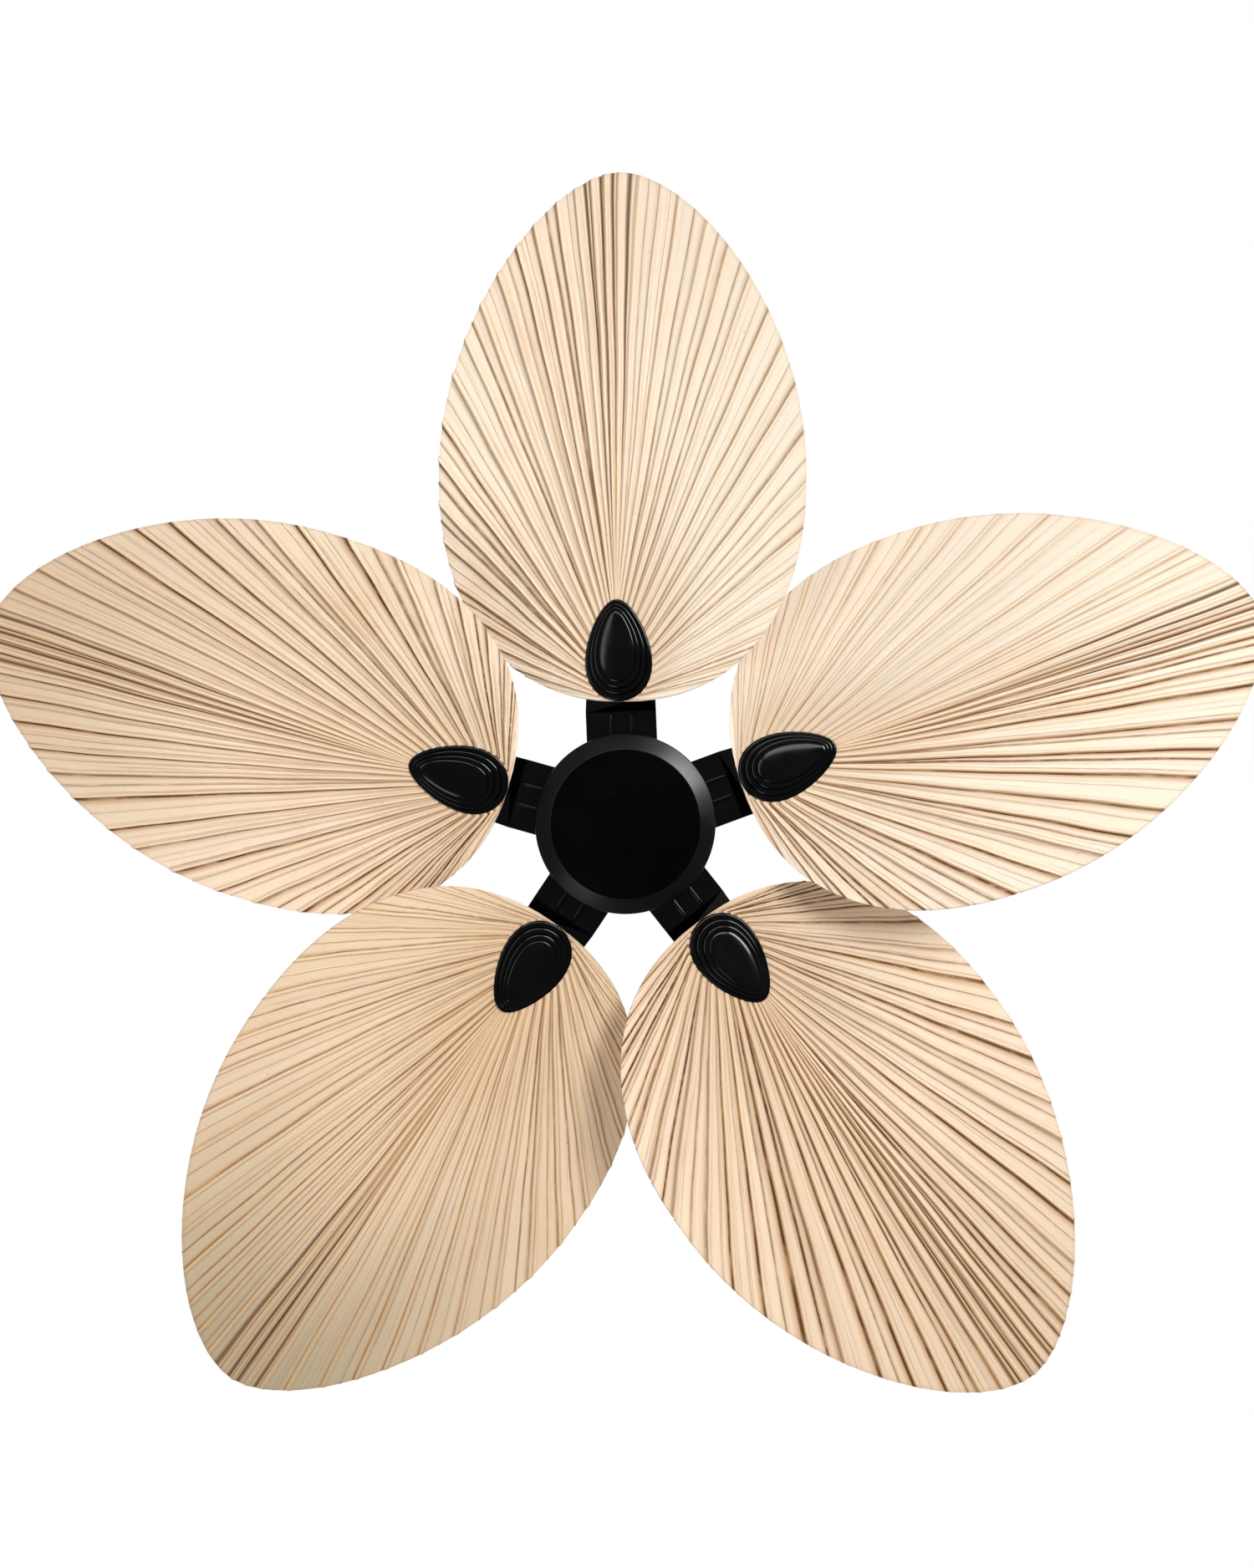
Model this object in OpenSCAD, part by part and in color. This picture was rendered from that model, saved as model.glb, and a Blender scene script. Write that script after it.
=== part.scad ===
// Five-blade ceiling fan with pleated palm leaf blades, hung from a hanger ball on a short downrod.
// The origin is the point of the ceiling above the fan's axis. The fan hangs towards -Z.

/* [Leaves] */
// Length of an average leaf, from its base to its tip
leaf_length = 556; // [440:1:700]
// Width of an average leaf, across its flat
leaf_width = 396; // [320:1:480]
// Thickness of the dried leaf
leaf_thick = 1.6; // [1:0.1:3]
// How far the base of a leaf reaches back under the sloping part of its iron
leaf_tuck = 5; // [0:1:8]
// Place of the widest line, in percent of the length from the base
leaf_widest = 43; // [36:1:52]
// Natural variation of each leaf's size, in percent
leaf_growth = [-2.8, -0.5, 2.6, 1.8, -1.0];
// Pitch of the blades about their own irons
leaf_pitch = 13; // [8:0.5:18]
// Turn of the leaf's outline on its iron
leaf_skew = 1.9; // [-3:0.1:3]
// Droop of the tip below the clamped root
leaf_droop = 10; // [0:1:30]
// Droop of the shoulders below the clamped root
leaf_camber = 5; // [0:1:15]

/* [Pleats] */
// Pleats on each side of the midrib
pleats_per_side = 18; // [10:1:22]
// Depth of a pleat, from its ridge to the crease between two ridges
pleat_depth = 4; // [2:0.5:6]
// Depth of the ridge along the midrib
rib_depth = 6; // [3:0.5:8]
// Part of each pleat taken by its ridge, in percent
ridge_share = 38; // [24:1:60]
// Level of the panels beside a ridge, in percent of the depth
panel_level = 86; // [70:1:95]
// How much closer the pleats lie at the tip than at the shoulders
pleat_spread = 1.25; // [1:0.05:1.6]
// How far from the midrib the folds bunch together at the cap's point, in degrees of the outline
bunch_angle = 34; // [20:1:45]
// Turn of the midrib off the middle of the tip
rib_turn = -2.5; // [-6:0.5:6]

/* [Blade caps] */
// Length of the egg-shaped cap
cap_length = 104; // [80:1:120]
// Width of the egg-shaped cap
cap_width = 70; // [56:1:84]
// How much narrower the cap's outer end is, in percent
cap_taper = 28; // [0:1:35]
// Width of each of the cap's three rounded steps
cap_step_w = 5.2; // [3:0.1:6]
// Height of each rounded step
cap_step_h = 3; // [2:0.1:5]
// Height of the dome above the last step
cap_dome_h = 4; // [2:0.5:8]
// Depth of the screw holes in the cap
cap_hole_depth = 5.5; // [4:0.5:6]

/* [Blade irons] */
// Width of the flat steel strap
iron_width = 72; // [56:1:87]
// Thickness of the steel strap
iron_thick = 3; // [2:0.5:4]
// Gap between the inner corners of neighbouring straps
iron_gap = 4; // [2:0.5:12]
// Distance from the fan's axis to the cross bend
iron_bend_r = 116; // [108:1:140]
// Length of the sloping part past the bend
iron_slope = 14; // [8:1:20]
// Drop of the sloping part
iron_drop = 10; // [4:1:24]
// Spacing of the two stiffening beads
bead_spacing = 21; // [16:1:30]
// Width of a bead
bead_width = 4.4; // [3:0.1:5]
// Length of a bead
bead_length = 26; // [16:1:30]
// Distance from the strap's inner end to the screws that hold the iron
iron_screw_in = 11; // [8:0.5:14]
// Spacing of these two screws
iron_screw_spacing = 36; // [26:1:44]

/* [Motor] */
// Diameter of the turning motor shells
shell_d = 160; // [156:1:194]
// Height of the two shells together
shell_h = 61; // [58:1:80]
// Wall of the shells
shell_wall = 3; // [2.5:0.5:4]
// Diameter of the still shaft
shaft_d = 20; // [17:1:24]
// Bore of the shaft, for the leads
shaft_bore = 12.7; // [12.5:0.1:13.5]
// Outside diameter of the ball bearings
bearing_d = 47; // [44:1:57]
// Height of the ball bearings
bearing_h = 14; // [12:1:15]
// Width of the rotor core's ring
ring_width = 17.4; // [14:0.1:22]
// Height of the stator core
core_h = 16; // [12:1:18]
// Slots in the stator core
stator_slots = 12; // [8:1:14]
// Air gap between the stator and the rotor core
air_gap = 0.5; // [0.4:0.1:1]

/* [Housing and hub cap] */
// Gap between the turning shells and the housing
housing_gap = 8; // [4:0.5:16]
// Wall of the housing
housing_wall = 2; // [1.5:0.1:3]
// Radius of the housing's shoulder
housing_shoulder = 24; // [12:1:30]
// Diameter of the hub cap
hub_d = 183.4; // [160:0.1:222]
// Diameter of the hub cap's flat face
hub_face_d = 151.2; // [130:0.1:160]
// Height of the hub cap's straight skirt
hub_skirt = 20; // [16:1:30]
// Height of the hub cap's bevel
hub_bevel = 14; // [8:1:20]
// Wall of the hub cap
hub_wall = 2; // [1.5:0.1:3]
// Gap between the irons and the rim of the hub cap
hub_gap = 4; // [3:0.5:8]

/* [Downrod and hanger] */
// Diameter of the downrod
rod_d = 26.7; // [24:0.1:33]
// Bore of the downrod
rod_bore = 21; // [18:0.1:22]
// Length of the downrod
rod_length = 160; // [130:1:900]
// Diameter of the hanger ball
ball_d = 58; // [54:1:70]
// Distance from the ceiling to the middle of the ball
ball_drop = 42; // [38:1:46]
// Thickness of the bracket's steel
bracket_thick = 2.5; // [2:0.5:3]
// Spacing of the slots for the outlet box screws
slot_spacing = 88.9; // [82.6:0.1:92]
// Length of such a slot
slot_length = 14; // [10:1:16]
// Width of such a slot
slot_width = 5.5; // [5:0.1:6]
// Diameter of the canopy
canopy_d = 136; // [134:1:180]
// Height of the canopy
canopy_h = 68; // [66:1:90]
// Wall of the canopy
canopy_wall = 1.5; // [1:0.1:2]
// Gap between the downrod and the hole in the bottom of the canopy
canopy_hole_gap = 5.5; // [4:0.5:10]

/* [Hidden] */
$fn = 64;

// Fits and small clearances
fit = 0.1;          // between round pieces of one assembly
thread_fit = 0.05;  // between a screw and its thread
run_gap = 0.3;      // between the ball and its seat
cut = 1;            // how far a cutter runs past a face
drill = 12;         // length of a cutter that drills through a thin wall
turn_gap = 2;       // between a turning shell and the still shaft

// Blades and their places round the rotor
blade_count = 5;
blade_step = 360 / blade_count;
rotor_clock = 87.7;
iron_inner_r = (iron_width / 2 + iron_gap / 2 / cos(blade_step / 2)) / tan(blade_step / 2);
iron_screw_r = iron_inner_r + iron_screw_in;
leaf_base_r = iron_bend_r + iron_slope - leaf_tuck;
cap_centre_r = leaf_base_r + cap_length / 2;
cap_screw_in = 27;
cap_screw_side = 18;
cap_screw_out = 26;
blade_screw_places = [[cap_centre_r - cap_screw_in, cap_screw_side],
    [cap_centre_r - cap_screw_in, -cap_screw_side], [cap_centre_r + cap_screw_out, 0]];

// Screw sizes: shank radius, clearance hole radius, head radius and head height
m4_r = 2;
m4_hole_r = 2.3;
m4_head_r = 3.8;
m4_head_h = 2.4;
m5_r = 2.5;
m5_hole_r = 2.75;
m5_head_r = 4.6;
m5_head_h = 3;
m6_r = 3;

// Heights along the axis, from the ceiling down
z_ball = -ball_drop;
ball_r = ball_d / 2;
ball_above = 15;
ball_below = 18.5;
seat_drop = 20;
rod_above = 18;
z_rod_top = z_ball + rod_above;
z_rod_end = z_rod_top - rod_length;
yoke_grip = 36;
yoke_foot = 16;
z_flange = z_rod_end - yoke_foot;
flange_h = 4;
housing_top_h = 2.5;
z_housing_in = z_flange - housing_top_h;
motor_drop = 16;
z_shell_top = z_flange - motor_drop;
z_shell_bottom = z_shell_top - shell_h;
z_iron_top = z_shell_bottom;
z_iron_bottom = z_iron_top - iron_thick;
z_hub_rim = z_iron_bottom - hub_gap;
z_hub_bevel = z_hub_rim - hub_skirt;
z_hub_face = z_hub_bevel - hub_bevel;
z_leaf = z_iron_bottom - iron_drop - leaf_thick / 2;

// Motor
shaft_r = shaft_d / 2;
bearing_r = bearing_d / 2;
upper_lip = 1;
lower_lip = 2;
z_upper_bearing = z_shell_top - upper_lip - bearing_h;
z_lower_bearing = z_shell_bottom + lower_lip;
z_core = (z_upper_bearing + z_lower_bearing + bearing_h - core_h) / 2;
pocket_r = bearing_r + thread_fit;
pocket_wall = 4;
shell_plate = 4;
race_wall = 4.3;
ball_path_r = (shaft_r + bearing_r) / 2;
groove_share = 0.3;
ball_play = 0.15;
groove_r = (bearing_r - shaft_r) * groove_share;
bearing_ball_r = groove_r - ball_play;
bearing_ball_count = 8;
ring_outer_r = shell_d / 2 - shell_wall - fit;
ring_inner_r = ring_outer_r - ring_width;
stator_r = ring_inner_r - air_gap;
ring_margin = 3;
shell_screw_out = 1;
shell_screw_r = (ring_outer_r + ring_inner_r) / 2 + shell_screw_out;
shell_screw_floor = 2;
shell_screw_gap = 4;
boss_r = 5;
winding_clear = 5.4;
slot_inner_r = pocket_r + pocket_wall + winding_clear;
slot_rim = 5;
slot_mouth = 2.4;
winding_gap = 0.3;
winding_h = 7;
winding_round = 3;
winding_lap = 0.01;
slot_in_share = 1.1;
slot_out_share = 1.2;

// Leads inside the shaft and the downrod
wire_r = 1.1;
wire_hole_gap = 0.4;
wire_over = 6;
wire_ring_r = 4.95;
wire_angles = [28, -28, 180];
z_wire_top = z_rod_top + wire_over;
z_wire_exit = z_core + core_h + winding_gap + winding_h / 2;

// Hanger bracket and canopy
canopy_fit = 1;
bracket_half = canopy_d / 2 - canopy_wall - canopy_fit;
bracket_tab_w = 14;
bracket_tab_h = 16;
bracket_tab_x = sqrt(pow(bracket_half, 2) - pow(bracket_tab_w / 2, 2));
strip_width = 34;
leg_gap = 2.2;
leg_y = ball_r + leg_gap;
leg_width = 36;
seat_h = 4;
z_seat = z_ball - seat_drop;
seat_r = leg_y + bracket_thick;
mouth_gap = 2.5;
mouth_w = rod_d + 2 * mouth_gap;
key_w = 5.6;
key_gap = 0.6;
key_h = 8;
key_depth = 4.4;
key_end_gap = 2.1;
key_inset = 1;
key_x = ball_r - key_depth;
groove_x = key_x - key_end_gap;
groove_rise = 5;
z_canopy_screw = -11;
plate_bore_r = 15;

// Plate that carries the hub cap
plate_h = 2.5;
plate_r = 44;
plate_drop = 10;
z_plate = z_iron_bottom - m5_head_h - plate_drop;
hub_inner_r = hub_d / 2 - hub_wall;
arm_w = 16;
arm_gap = 0.6;
arm_x = sqrt(pow(hub_inner_r - arm_gap, 2) - pow(arm_w / 2, 2));
arm_tab_gap = 2;
arm_tab_h = z_plate - z_hub_bevel - arm_tab_gap;
arm_count = 3;
z_hub_screw = z_plate - (plate_h + arm_tab_h) / 2;
spacer_wall = 3.4;
spacer_r = shaft_r + fit + spacer_wall;
nut_rim = 6;
nut_r = shaft_r + nut_rim;
nut_h = 6;
shaft_over = 2;

// Leaf outline, in the plane of the blade: a margin point for an angle that runs
// from 0 at the tip over 90 at the widest line to 180 at the base, on either side
tip_fullness = 1.786;
shoulder_u = 0.87;
shoulder_v = 0.88;
fan_end = 155;
rear_angles = [163, 172, 180, -172, -163];
rear_in = 1.5;
ring_steps = [0, 0.35, 0.7, 1];
ring_swell = [0, 0.85, 1, 0.9];
bunch_share = 0.6;
rib_pleats = 2;

function grown(k) = 1 + leaf_growth[k] / 100;
function margin_tip(b, k) = leaf_base_r + grown(k) * leaf_length * (leaf_widest / 100
    + (1 - leaf_widest / 100) * acos(pow(sin(b), tip_fullness)) / 90);
function margin_base(b, k) = leaf_base_r + grown(k) * leaf_length * leaf_widest / 100
    * (1 - pow(sin(b - 90), shoulder_u));
function margin_half(b, k) = grown(k) * leaf_width / 2
    * (b < 90 ? sin(b) : pow(max(0, cos(b - 90)), shoulder_v));
function margin(a, k) = let (b = abs(a))
    [b < 90 ? margin_tip(b, k) : margin_base(b, k), sign(a) * margin_half(b, k)];
function turned(p, a) = [p[0] * cos(a) - p[1] * sin(a), p[0] * sin(a) + p[1] * cos(a)];

// Egg outline of the cap: half its width at a place c along it, from -1 at the wide end to 1
egg_k = max(cap_taper, 0.1) / 100;
egg_peak = (1 - sqrt(1 + 8 * egg_k * egg_k)) / (4 * egg_k);
egg_norm = sqrt(1 - egg_peak * egg_peak) * (1 - egg_k * egg_peak);
egg_shift = 1.3;
function egg_half(c) = sqrt(max(0, 1 - c * c)) * (1 - egg_k * c) / egg_norm;
function egg(a, inset) = [
    cap_centre_r + egg_shift * inset / cap_step_w + (cap_length / 2 - inset) * cos(a),
    (cap_width / 2 - inset) * sign(sin(a)) * egg_half(cos(a))];

// Place on the cap's outline where the fold with a certain margin angle starts
function fold_start(a) = a * (1 - bunch_share * exp(-pow(a / bunch_angle, 2)));

// Margin angle of a place counted in pleats from the midrib
function fold_angle(i) = let (t = i / pleats_per_side)
    rib_turn * (1 - abs(t)) + fan_end * sign(t) * pow(abs(t), pleat_spread);

// Pleat columns round the leaf: margin angle, and depth as a share of the pleat's depth
ridge_half = ridge_share / 200;
pleat_section = [[0, 1], [ridge_half, 1 - panel_level / 100], [0.5, 0],
    [1 - ridge_half, 1 - panel_level / 100]];
rib_section = [[0, 1], [0.5, 0]];
function section_at(i) = i >= -rib_pleats && i < rib_pleats ? rib_section : pleat_section;
columns = concat(
    [for (i = [-pleats_per_side : pleats_per_side - 1], p = section_at(i))
        [fold_angle(i + p[0]), p[0] > 0 ? p[1] : i == 0 ? rib_depth / pleat_depth
            : i == -pleats_per_side ? 0 : 1]],
    [[fan_end, 0]],
    [for (a = rear_angles) [a, 0]]);

// One point of the leaf's middle surface, on the straight fold from the cap's outline to the margin
function leaf_point(k, column, ring) = let (
    a = column[0],
    outline = egg(fold_start(a), -leaf_thick),
    root = abs(a) > fan_end ? [leaf_base_r + rear_in, outline[1]] : outline,
    tip = turned(margin(a, k), leaf_skew),
    dir = atan2(tip[1] - root[1], tip[0] - root[0]),
    s = ring_steps[ring],
    p = root * (1 - s) + tip * s,
    bend = abs(dir) > 90 ? 0 : leaf_droop * pow(cos(dir), 2) + leaf_camber * pow(sin(2 * dir), 2))
    [p[0], p[1], -column[1] * ring_swell[ring] * pleat_depth - bend * s * s];

module at_blade(k) {
    rotate([0, 0, rotor_clock + k * blade_step]) children();
}

// The plane of a blade: X outwards along the iron, Z up through the leaf
module in_blade_plane(k) {
    at_blade(k) translate([0, 0, z_leaf]) rotate([-leaf_pitch, 0, 0]) children();
}

module tube(outer_r, inner_r, z_low, h) {
    translate([0, 0, z_low]) difference() {
        cylinder(r = outer_r, h = h);
        translate([0, 0, -cut]) cylinder(r = inner_r, h = h + 2 * cut);
    }
}

module disc(r, z_low, h) {
    translate([0, 0, z_low]) cylinder(r = r, h = h);
}

// A pan head screw whose head stands on z = 0 and whose shank runs towards -Z
module pan_screw(shank_r, head_r, head_h, length) {
    straight = 0.6;
    top = 0.7;
    rotate_extrude() polygon([
        [0, -length], [shank_r, -length], [shank_r, 0], [head_r, 0],
        [head_r, head_h * straight], [head_r * top, head_h], [0, head_h]]);
}

module along_x(length, r) {
    rotate([0, 90, 0]) translate([0, 0, -length / 2]) cylinder(r = r, h = length);
}

module along_y(length, r) {
    rotate([90, 0, 0]) translate([0, 0, -length / 2]) cylinder(r = r, h = length);
}

/* Ceiling side */

// Top plate: a long strip for the box screws, crossed by a short one that carries the legs
module bracket_plate() {
    for (size = [[2 * bracket_tab_x, strip_width], [leg_width, 2 * seat_r]])
        translate([-size[0] / 2, -size[1] / 2, -bracket_thick])
            cube([size[0], size[1], bracket_thick]);
}

module bracket_outline() {
    intersection() {
        bracket_plate();
        disc(bracket_half, -bracket_thick - cut, bracket_thick + 2 * cut);
    }
}

module bracket_seat() {
    difference() {
        disc(seat_r, z_seat, seat_h);
        translate([0, 0, z_ball]) sphere(r = ball_r + run_gap);
        translate([-seat_r - cut, -mouth_w / 2, z_seat - cut])
            cube([seat_r + cut, mouth_w, seat_h + 2 * cut]);
    }
}

module hanger_bracket() color("silver") {
    difference() {
        union() {
            bracket_outline();
            for (s = [-1, 1]) {
                translate([s * bracket_tab_x - (s + 1) * bracket_thick / 2, -bracket_tab_w / 2,
                    -bracket_tab_h]) cube([bracket_thick, bracket_tab_w, bracket_tab_h]);
                translate([-leg_width / 2, s * leg_y + (s - 1) * bracket_thick / 2, z_seat])
                    cube([leg_width, bracket_thick, -z_seat]);
            }
            bracket_seat();
            translate([key_x, -key_w / 2, z_seat])
                cube([seat_r - key_x - key_inset, key_w, seat_h + key_h]);
        }
        for (s = [-1, 1]) {
            translate([s * slot_spacing / 2, 0, 0]) bracket_slot();
            translate([s * bracket_half, 0, z_canopy_screw]) along_x(drill, m4_r + thread_fit);
        }
        disc(plate_bore_r, -bracket_thick - cut, bracket_thick + 2 * cut);
        translate([ground_x, ground_y, -bracket_thick - cut])
            cylinder(r = m4_r + thread_fit, h = bracket_thick + 2 * cut);
    }
}

module bracket_slot() {
    for (s = [-1, 1]) translate([s * (slot_length - slot_width) / 2, 0, -bracket_thick - cut])
        cylinder(r = slot_width / 2, h = bracket_thick + 2 * cut);
    translate([-(slot_length - slot_width) / 2, -slot_width / 2, -bracket_thick - cut])
        cube([slot_length - slot_width, slot_width, bracket_thick + 2 * cut]);
}

ground_x = 24;
ground_y = 14;

module ground_screw() color("green") {
    translate([ground_x, ground_y, -bracket_thick]) rotate([180, 0, 0])
        pan_screw(m4_r, m4_head_r, m4_head_h, bracket_thick);
}

// Canopy: a straight rim, a rounded shoulder and a flat bottom with the hole for the downrod
canopy_r = canopy_d / 2;
canopy_lift = 0.5;
canopy_round = 26;
canopy_screw_l = 9;

module canopy_section(grow) {
    straight = canopy_r - canopy_wall + grow;
    low = -canopy_h + canopy_wall - grow;
    bow = canopy_round - canopy_wall + grow;
    translate([0, low]) square([straight - bow, -low - canopy_lift]);
    translate([0, low + bow]) square([straight, -low - bow - canopy_lift]);
    translate([straight - bow, low + bow]) circle(r = bow);
}

module canopy() color("black") {
    difference() {
        rotate_extrude() difference() {
            intersection() {
                canopy_section(canopy_wall);
                translate([0, -canopy_h]) square([canopy_r, canopy_h - canopy_lift]);
            }
            intersection() {
                canopy_section(0);
                translate([0, -canopy_h]) square([canopy_r, canopy_h]);
            }
            translate([0, -canopy_lift - cut]) square([canopy_r - canopy_wall, 2 * cut]);
            translate([0, -canopy_h - cut])
                square([rod_d / 2 + canopy_hole_gap, canopy_wall + 3 * cut]);
        }
        for (s = [-1, 1]) translate([s * canopy_r, 0, z_canopy_screw]) along_x(drill, m4_hole_r);
    }
}

module canopy_screws() color("black") {
    for (s = [0, 180]) rotate([0, 0, s]) translate([canopy_r + thread_fit, 0, z_canopy_screw])
        rotate([0, 90, 0]) pan_screw(m4_r, m4_head_r, m4_head_h, canopy_screw_l);
}

/* Hanging unit */

module hanger_ball() color("dimgray") {
    difference() {
        intersection() {
            translate([0, 0, z_ball]) sphere(r = ball_r);
            disc(ball_r + cut, z_ball - ball_below, ball_above + ball_below);
        }
        disc(rod_d / 2 + fit, z_ball - ball_r - cut, ball_d + 2 * cut);
        translate([groove_x, -key_w / 2 - key_gap, z_ball - ball_r - cut])
            cube([ball_r, key_w + 2 * key_gap, ball_r + groove_rise]);
        translate([0, 0, z_ball_pin]) along_y(ball_d, m6_r + fit);
        translate([-ball_r / 2, 0, z_ball_pin]) along_x(ball_r, m6_r + thread_fit);
    }
}

ball_pin_rise = 7;
ball_pin_in = 4;
z_ball_pin = z_ball + ball_pin_rise;
ball_pin_l = 2 * (sqrt(pow(ball_r, 2) - pow(ball_pin_rise, 2)) - ball_pin_in);

module ball_pin() color("silver") {
    translate([0, 0, z_ball_pin]) along_y(ball_pin_l, m6_r);
}

module ball_set_screw() color("dimgray") {
    grub = 11;
    translate([-rod_d / 2 - fit - grub / 2, 0, z_ball_pin]) along_x(grub, m6_r);
}

yoke_pin_rise = 14;
yoke_grub_rise = 26;
z_yoke_pin = z_rod_end + yoke_pin_rise;
z_yoke_grub = z_rod_end + yoke_grub_rise;

module downrod() color("black") {
    difference() {
        tube(rod_d / 2, rod_bore / 2, z_rod_end, rod_length);
        translate([0, 0, z_ball_pin]) along_y(rod_d + 2 * cut, m6_r + fit);
        translate([0, 0, z_yoke_pin]) along_y(rod_d + 2 * cut, m6_r + fit);
    }
}

yoke_wall = 8.5;
yoke_r = rod_d / 2 + fit + yoke_wall;
flange_rim = 7;
housing_screw_r = yoke_r + flange_rim;
housing_screw_count = 4;
housing_screw_over = 3;
flange_r = housing_screw_r + flange_rim;

module motor_yoke() color("dimgray") {
    difference() {
        union() {
            disc(yoke_r, z_flange, yoke_foot + yoke_grip);
            disc(flange_r, z_flange, flange_h);
        }
        disc(rod_d / 2 + fit, z_rod_end, yoke_grip + cut);
        disc(shaft_r + thread_fit, z_flange - cut, yoke_foot + 2 * cut);
        translate([0, 0, z_yoke_pin]) along_y(3 * yoke_r, m6_r + fit);
        translate([0, 0, z_yoke_grub]) along_x(3 * yoke_r, m6_r + thread_fit);
        housing_screw_holes(m4_hole_r);
    }
}

module housing_screw_holes(r) {
    for (i = [0 : housing_screw_count - 1]) rotate([0, 0, 45 + i * 360 / housing_screw_count])
        translate([housing_screw_r, 0, z_housing_in - cut])
            cylinder(r = r, h = flange_h + housing_top_h + 2 * cut);
}

yoke_pin_over = 4;
yoke_pin_l = 2 * (yoke_r + yoke_pin_over);

// A clevis pin with a head at one end and a split pin through the other
module yoke_pin() color("silver") {
    head_h = 2;
    head_rim = 1.8;
    split_r = 0.8;
    split_l = 11;
    split_in = 2;
    translate([0, 0, z_yoke_pin]) {
        difference() {
            union() {
                along_y(yoke_pin_l, m6_r);
                translate([0, (yoke_pin_l - head_h) / 2, 0]) along_y(head_h, m6_r + head_rim);
            }
            translate([0, split_in - yoke_pin_l / 2, 0])
                cylinder(r = split_r + fit, h = 4 * m6_r, center = true);
        }
        translate([0, split_in - yoke_pin_l / 2, 0]) cylinder(r = split_r, h = split_l, center = true);
    }
}

module yoke_set_screws() color("dimgray") {
    grub = 10;
    for (s = [-1, 1]) translate([s * (rod_d / 2 + fit + grub / 2), 0, z_yoke_grub])
        along_x(grub, m6_r);
}

// Cover over the yoke: a bell with a straight skirt, a hollow flare, a neck and a rounded top
cover_wall = 1.5;
cover_head_gap = 8;
cover_pin_gap = 1;
cover_flange_gap = 10;
cover_skirt = 8;
cover_flat = 3;
cover_rod_gap = 0.4;
cover_h = yoke_foot + yoke_grip + cover_head_gap;
cover_neck_r = yoke_pin_l / 2 + cover_pin_gap + cover_wall;
cover_foot_r = flange_r + cover_flange_gap;
cover_round = cover_neck_r - rod_d / 2 - cover_flat;

module cover_section(inset) {
    flare = cover_foot_r - cover_neck_r;
    square([cover_neck_r - cover_round, cover_h - inset]);
    square([cover_neck_r - inset, cover_h - cover_round]);
    translate([cover_neck_r - cover_round, cover_h - cover_round]) circle(r = cover_round - inset);
    difference() {
        square([cover_foot_r - inset, cover_skirt + flare]);
        translate([cover_foot_r, cover_skirt + flare]) circle(r = flare + inset);
    }
}

module coupling_cover() color("black") {
    translate([0, 0, z_flange]) rotate_extrude() difference() {
        cover_section(0);
        cover_section(cover_wall);
        translate([0, -cut]) square([cover_foot_r - cover_wall, 2 * cut]);
        square([rod_d / 2 + cover_rod_gap, cover_h + cut]);
    }
}

// Housing: a flat top, a rounded shoulder and a straight wall, open below
housing_r = shell_d / 2 + housing_gap + housing_wall;
housing_clear = 4;
z_housing_low = z_iron_top + housing_clear;
vent_count = 20;
vent_w = 4;
vent_l = 16;
vent_in = 8;
vent_r = flange_r + vent_in;

module housing_section(inset, low) {
    r = housing_r - inset;
    top = z_flange - (inset > 0 ? housing_top_h : 0);
    bow = housing_shoulder - inset;
    translate([0, low]) square([r, top - bow - low]);
    translate([0, low]) square([r - bow, top - low]);
    translate([r - bow, top - bow]) circle(r = bow);
}

module motor_housing() color("black") {
    difference() {
        rotate_extrude() intersection() {
            difference() {
                housing_section(0, z_housing_low);
                housing_section(housing_wall, z_housing_low - cut);
                translate([0, z_housing_in - cut]) square([shaft_r + fit, housing_top_h + 2 * cut]);
            }
            translate([0, z_housing_low]) square([housing_r, z_flange - z_housing_low]);
        }
        housing_screw_holes(m4_r + thread_fit);
        for (i = [0 : vent_count - 1]) rotate([0, 0, i * 360 / vent_count])
            translate([vent_r, -vent_w / 2, z_housing_in - cut])
                cube([vent_l, vent_w, housing_top_h + 3 * cut]);
    }
}

module housing_screws() color("silver") {
    for (i = [0 : housing_screw_count - 1]) rotate([0, 0, 45 + i * 360 / housing_screw_count])
        translate([housing_screw_r, 0, z_flange + flange_h])
            pan_screw(m4_r, m4_head_r, m4_head_h, flange_h + housing_top_h + housing_screw_over);
}

collar_rim = 3;
collar_r = shaft_r + collar_rim;
z_shaft_end = z_plate - plate_h - nut_h - shaft_over;

module motor_shaft() color("lightgray") {
    difference() {
        union() {
            disc(shaft_r, z_shaft_end, z_rod_end - z_shaft_end);
            disc(collar_r, z_upper_bearing + bearing_h, z_housing_in - z_upper_bearing - bearing_h);
        }
        disc(shaft_bore / 2, z_shaft_end - cut, z_rod_end - z_shaft_end + 2 * cut);
        for (a = wire_angles) rotate([0, 0, a]) translate([shaft_bore / 2 - cut, 0, z_wire_exit])
            rotate([0, 90, 0]) cylinder(r = wire_r + wire_hole_gap, h = shaft_r);
    }
}

// Slot between two stator teeth, grown outwards by the same amount on all sides
module stator_slot(grow) {
    w_in = slot_inner_r * sin(180 / stator_slots) * slot_in_share;
    r_out = stator_r - slot_rim;
    w_out = r_out * sin(180 / stator_slots) * slot_out_share;
    polygon([[slot_inner_r - grow, -w_in / 2 - grow], [r_out + grow, -w_out / 2 - grow],
        [r_out + grow, w_out / 2 + grow], [slot_inner_r - grow, w_in / 2 + grow]]);
}

module stator_core() color("slategray") {
    translate([0, 0, z_core]) linear_extrude(core_h) difference() {
        circle(r = stator_r);
        circle(r = shaft_r + thread_fit);
        for (i = [0 : stator_slots - 1]) rotate(i * 360 / stator_slots) {
            stator_slot(winding_gap);
            translate([slot_inner_r, -slot_mouth / 2]) square([stator_r, slot_mouth]);
        }
    }
}

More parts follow.
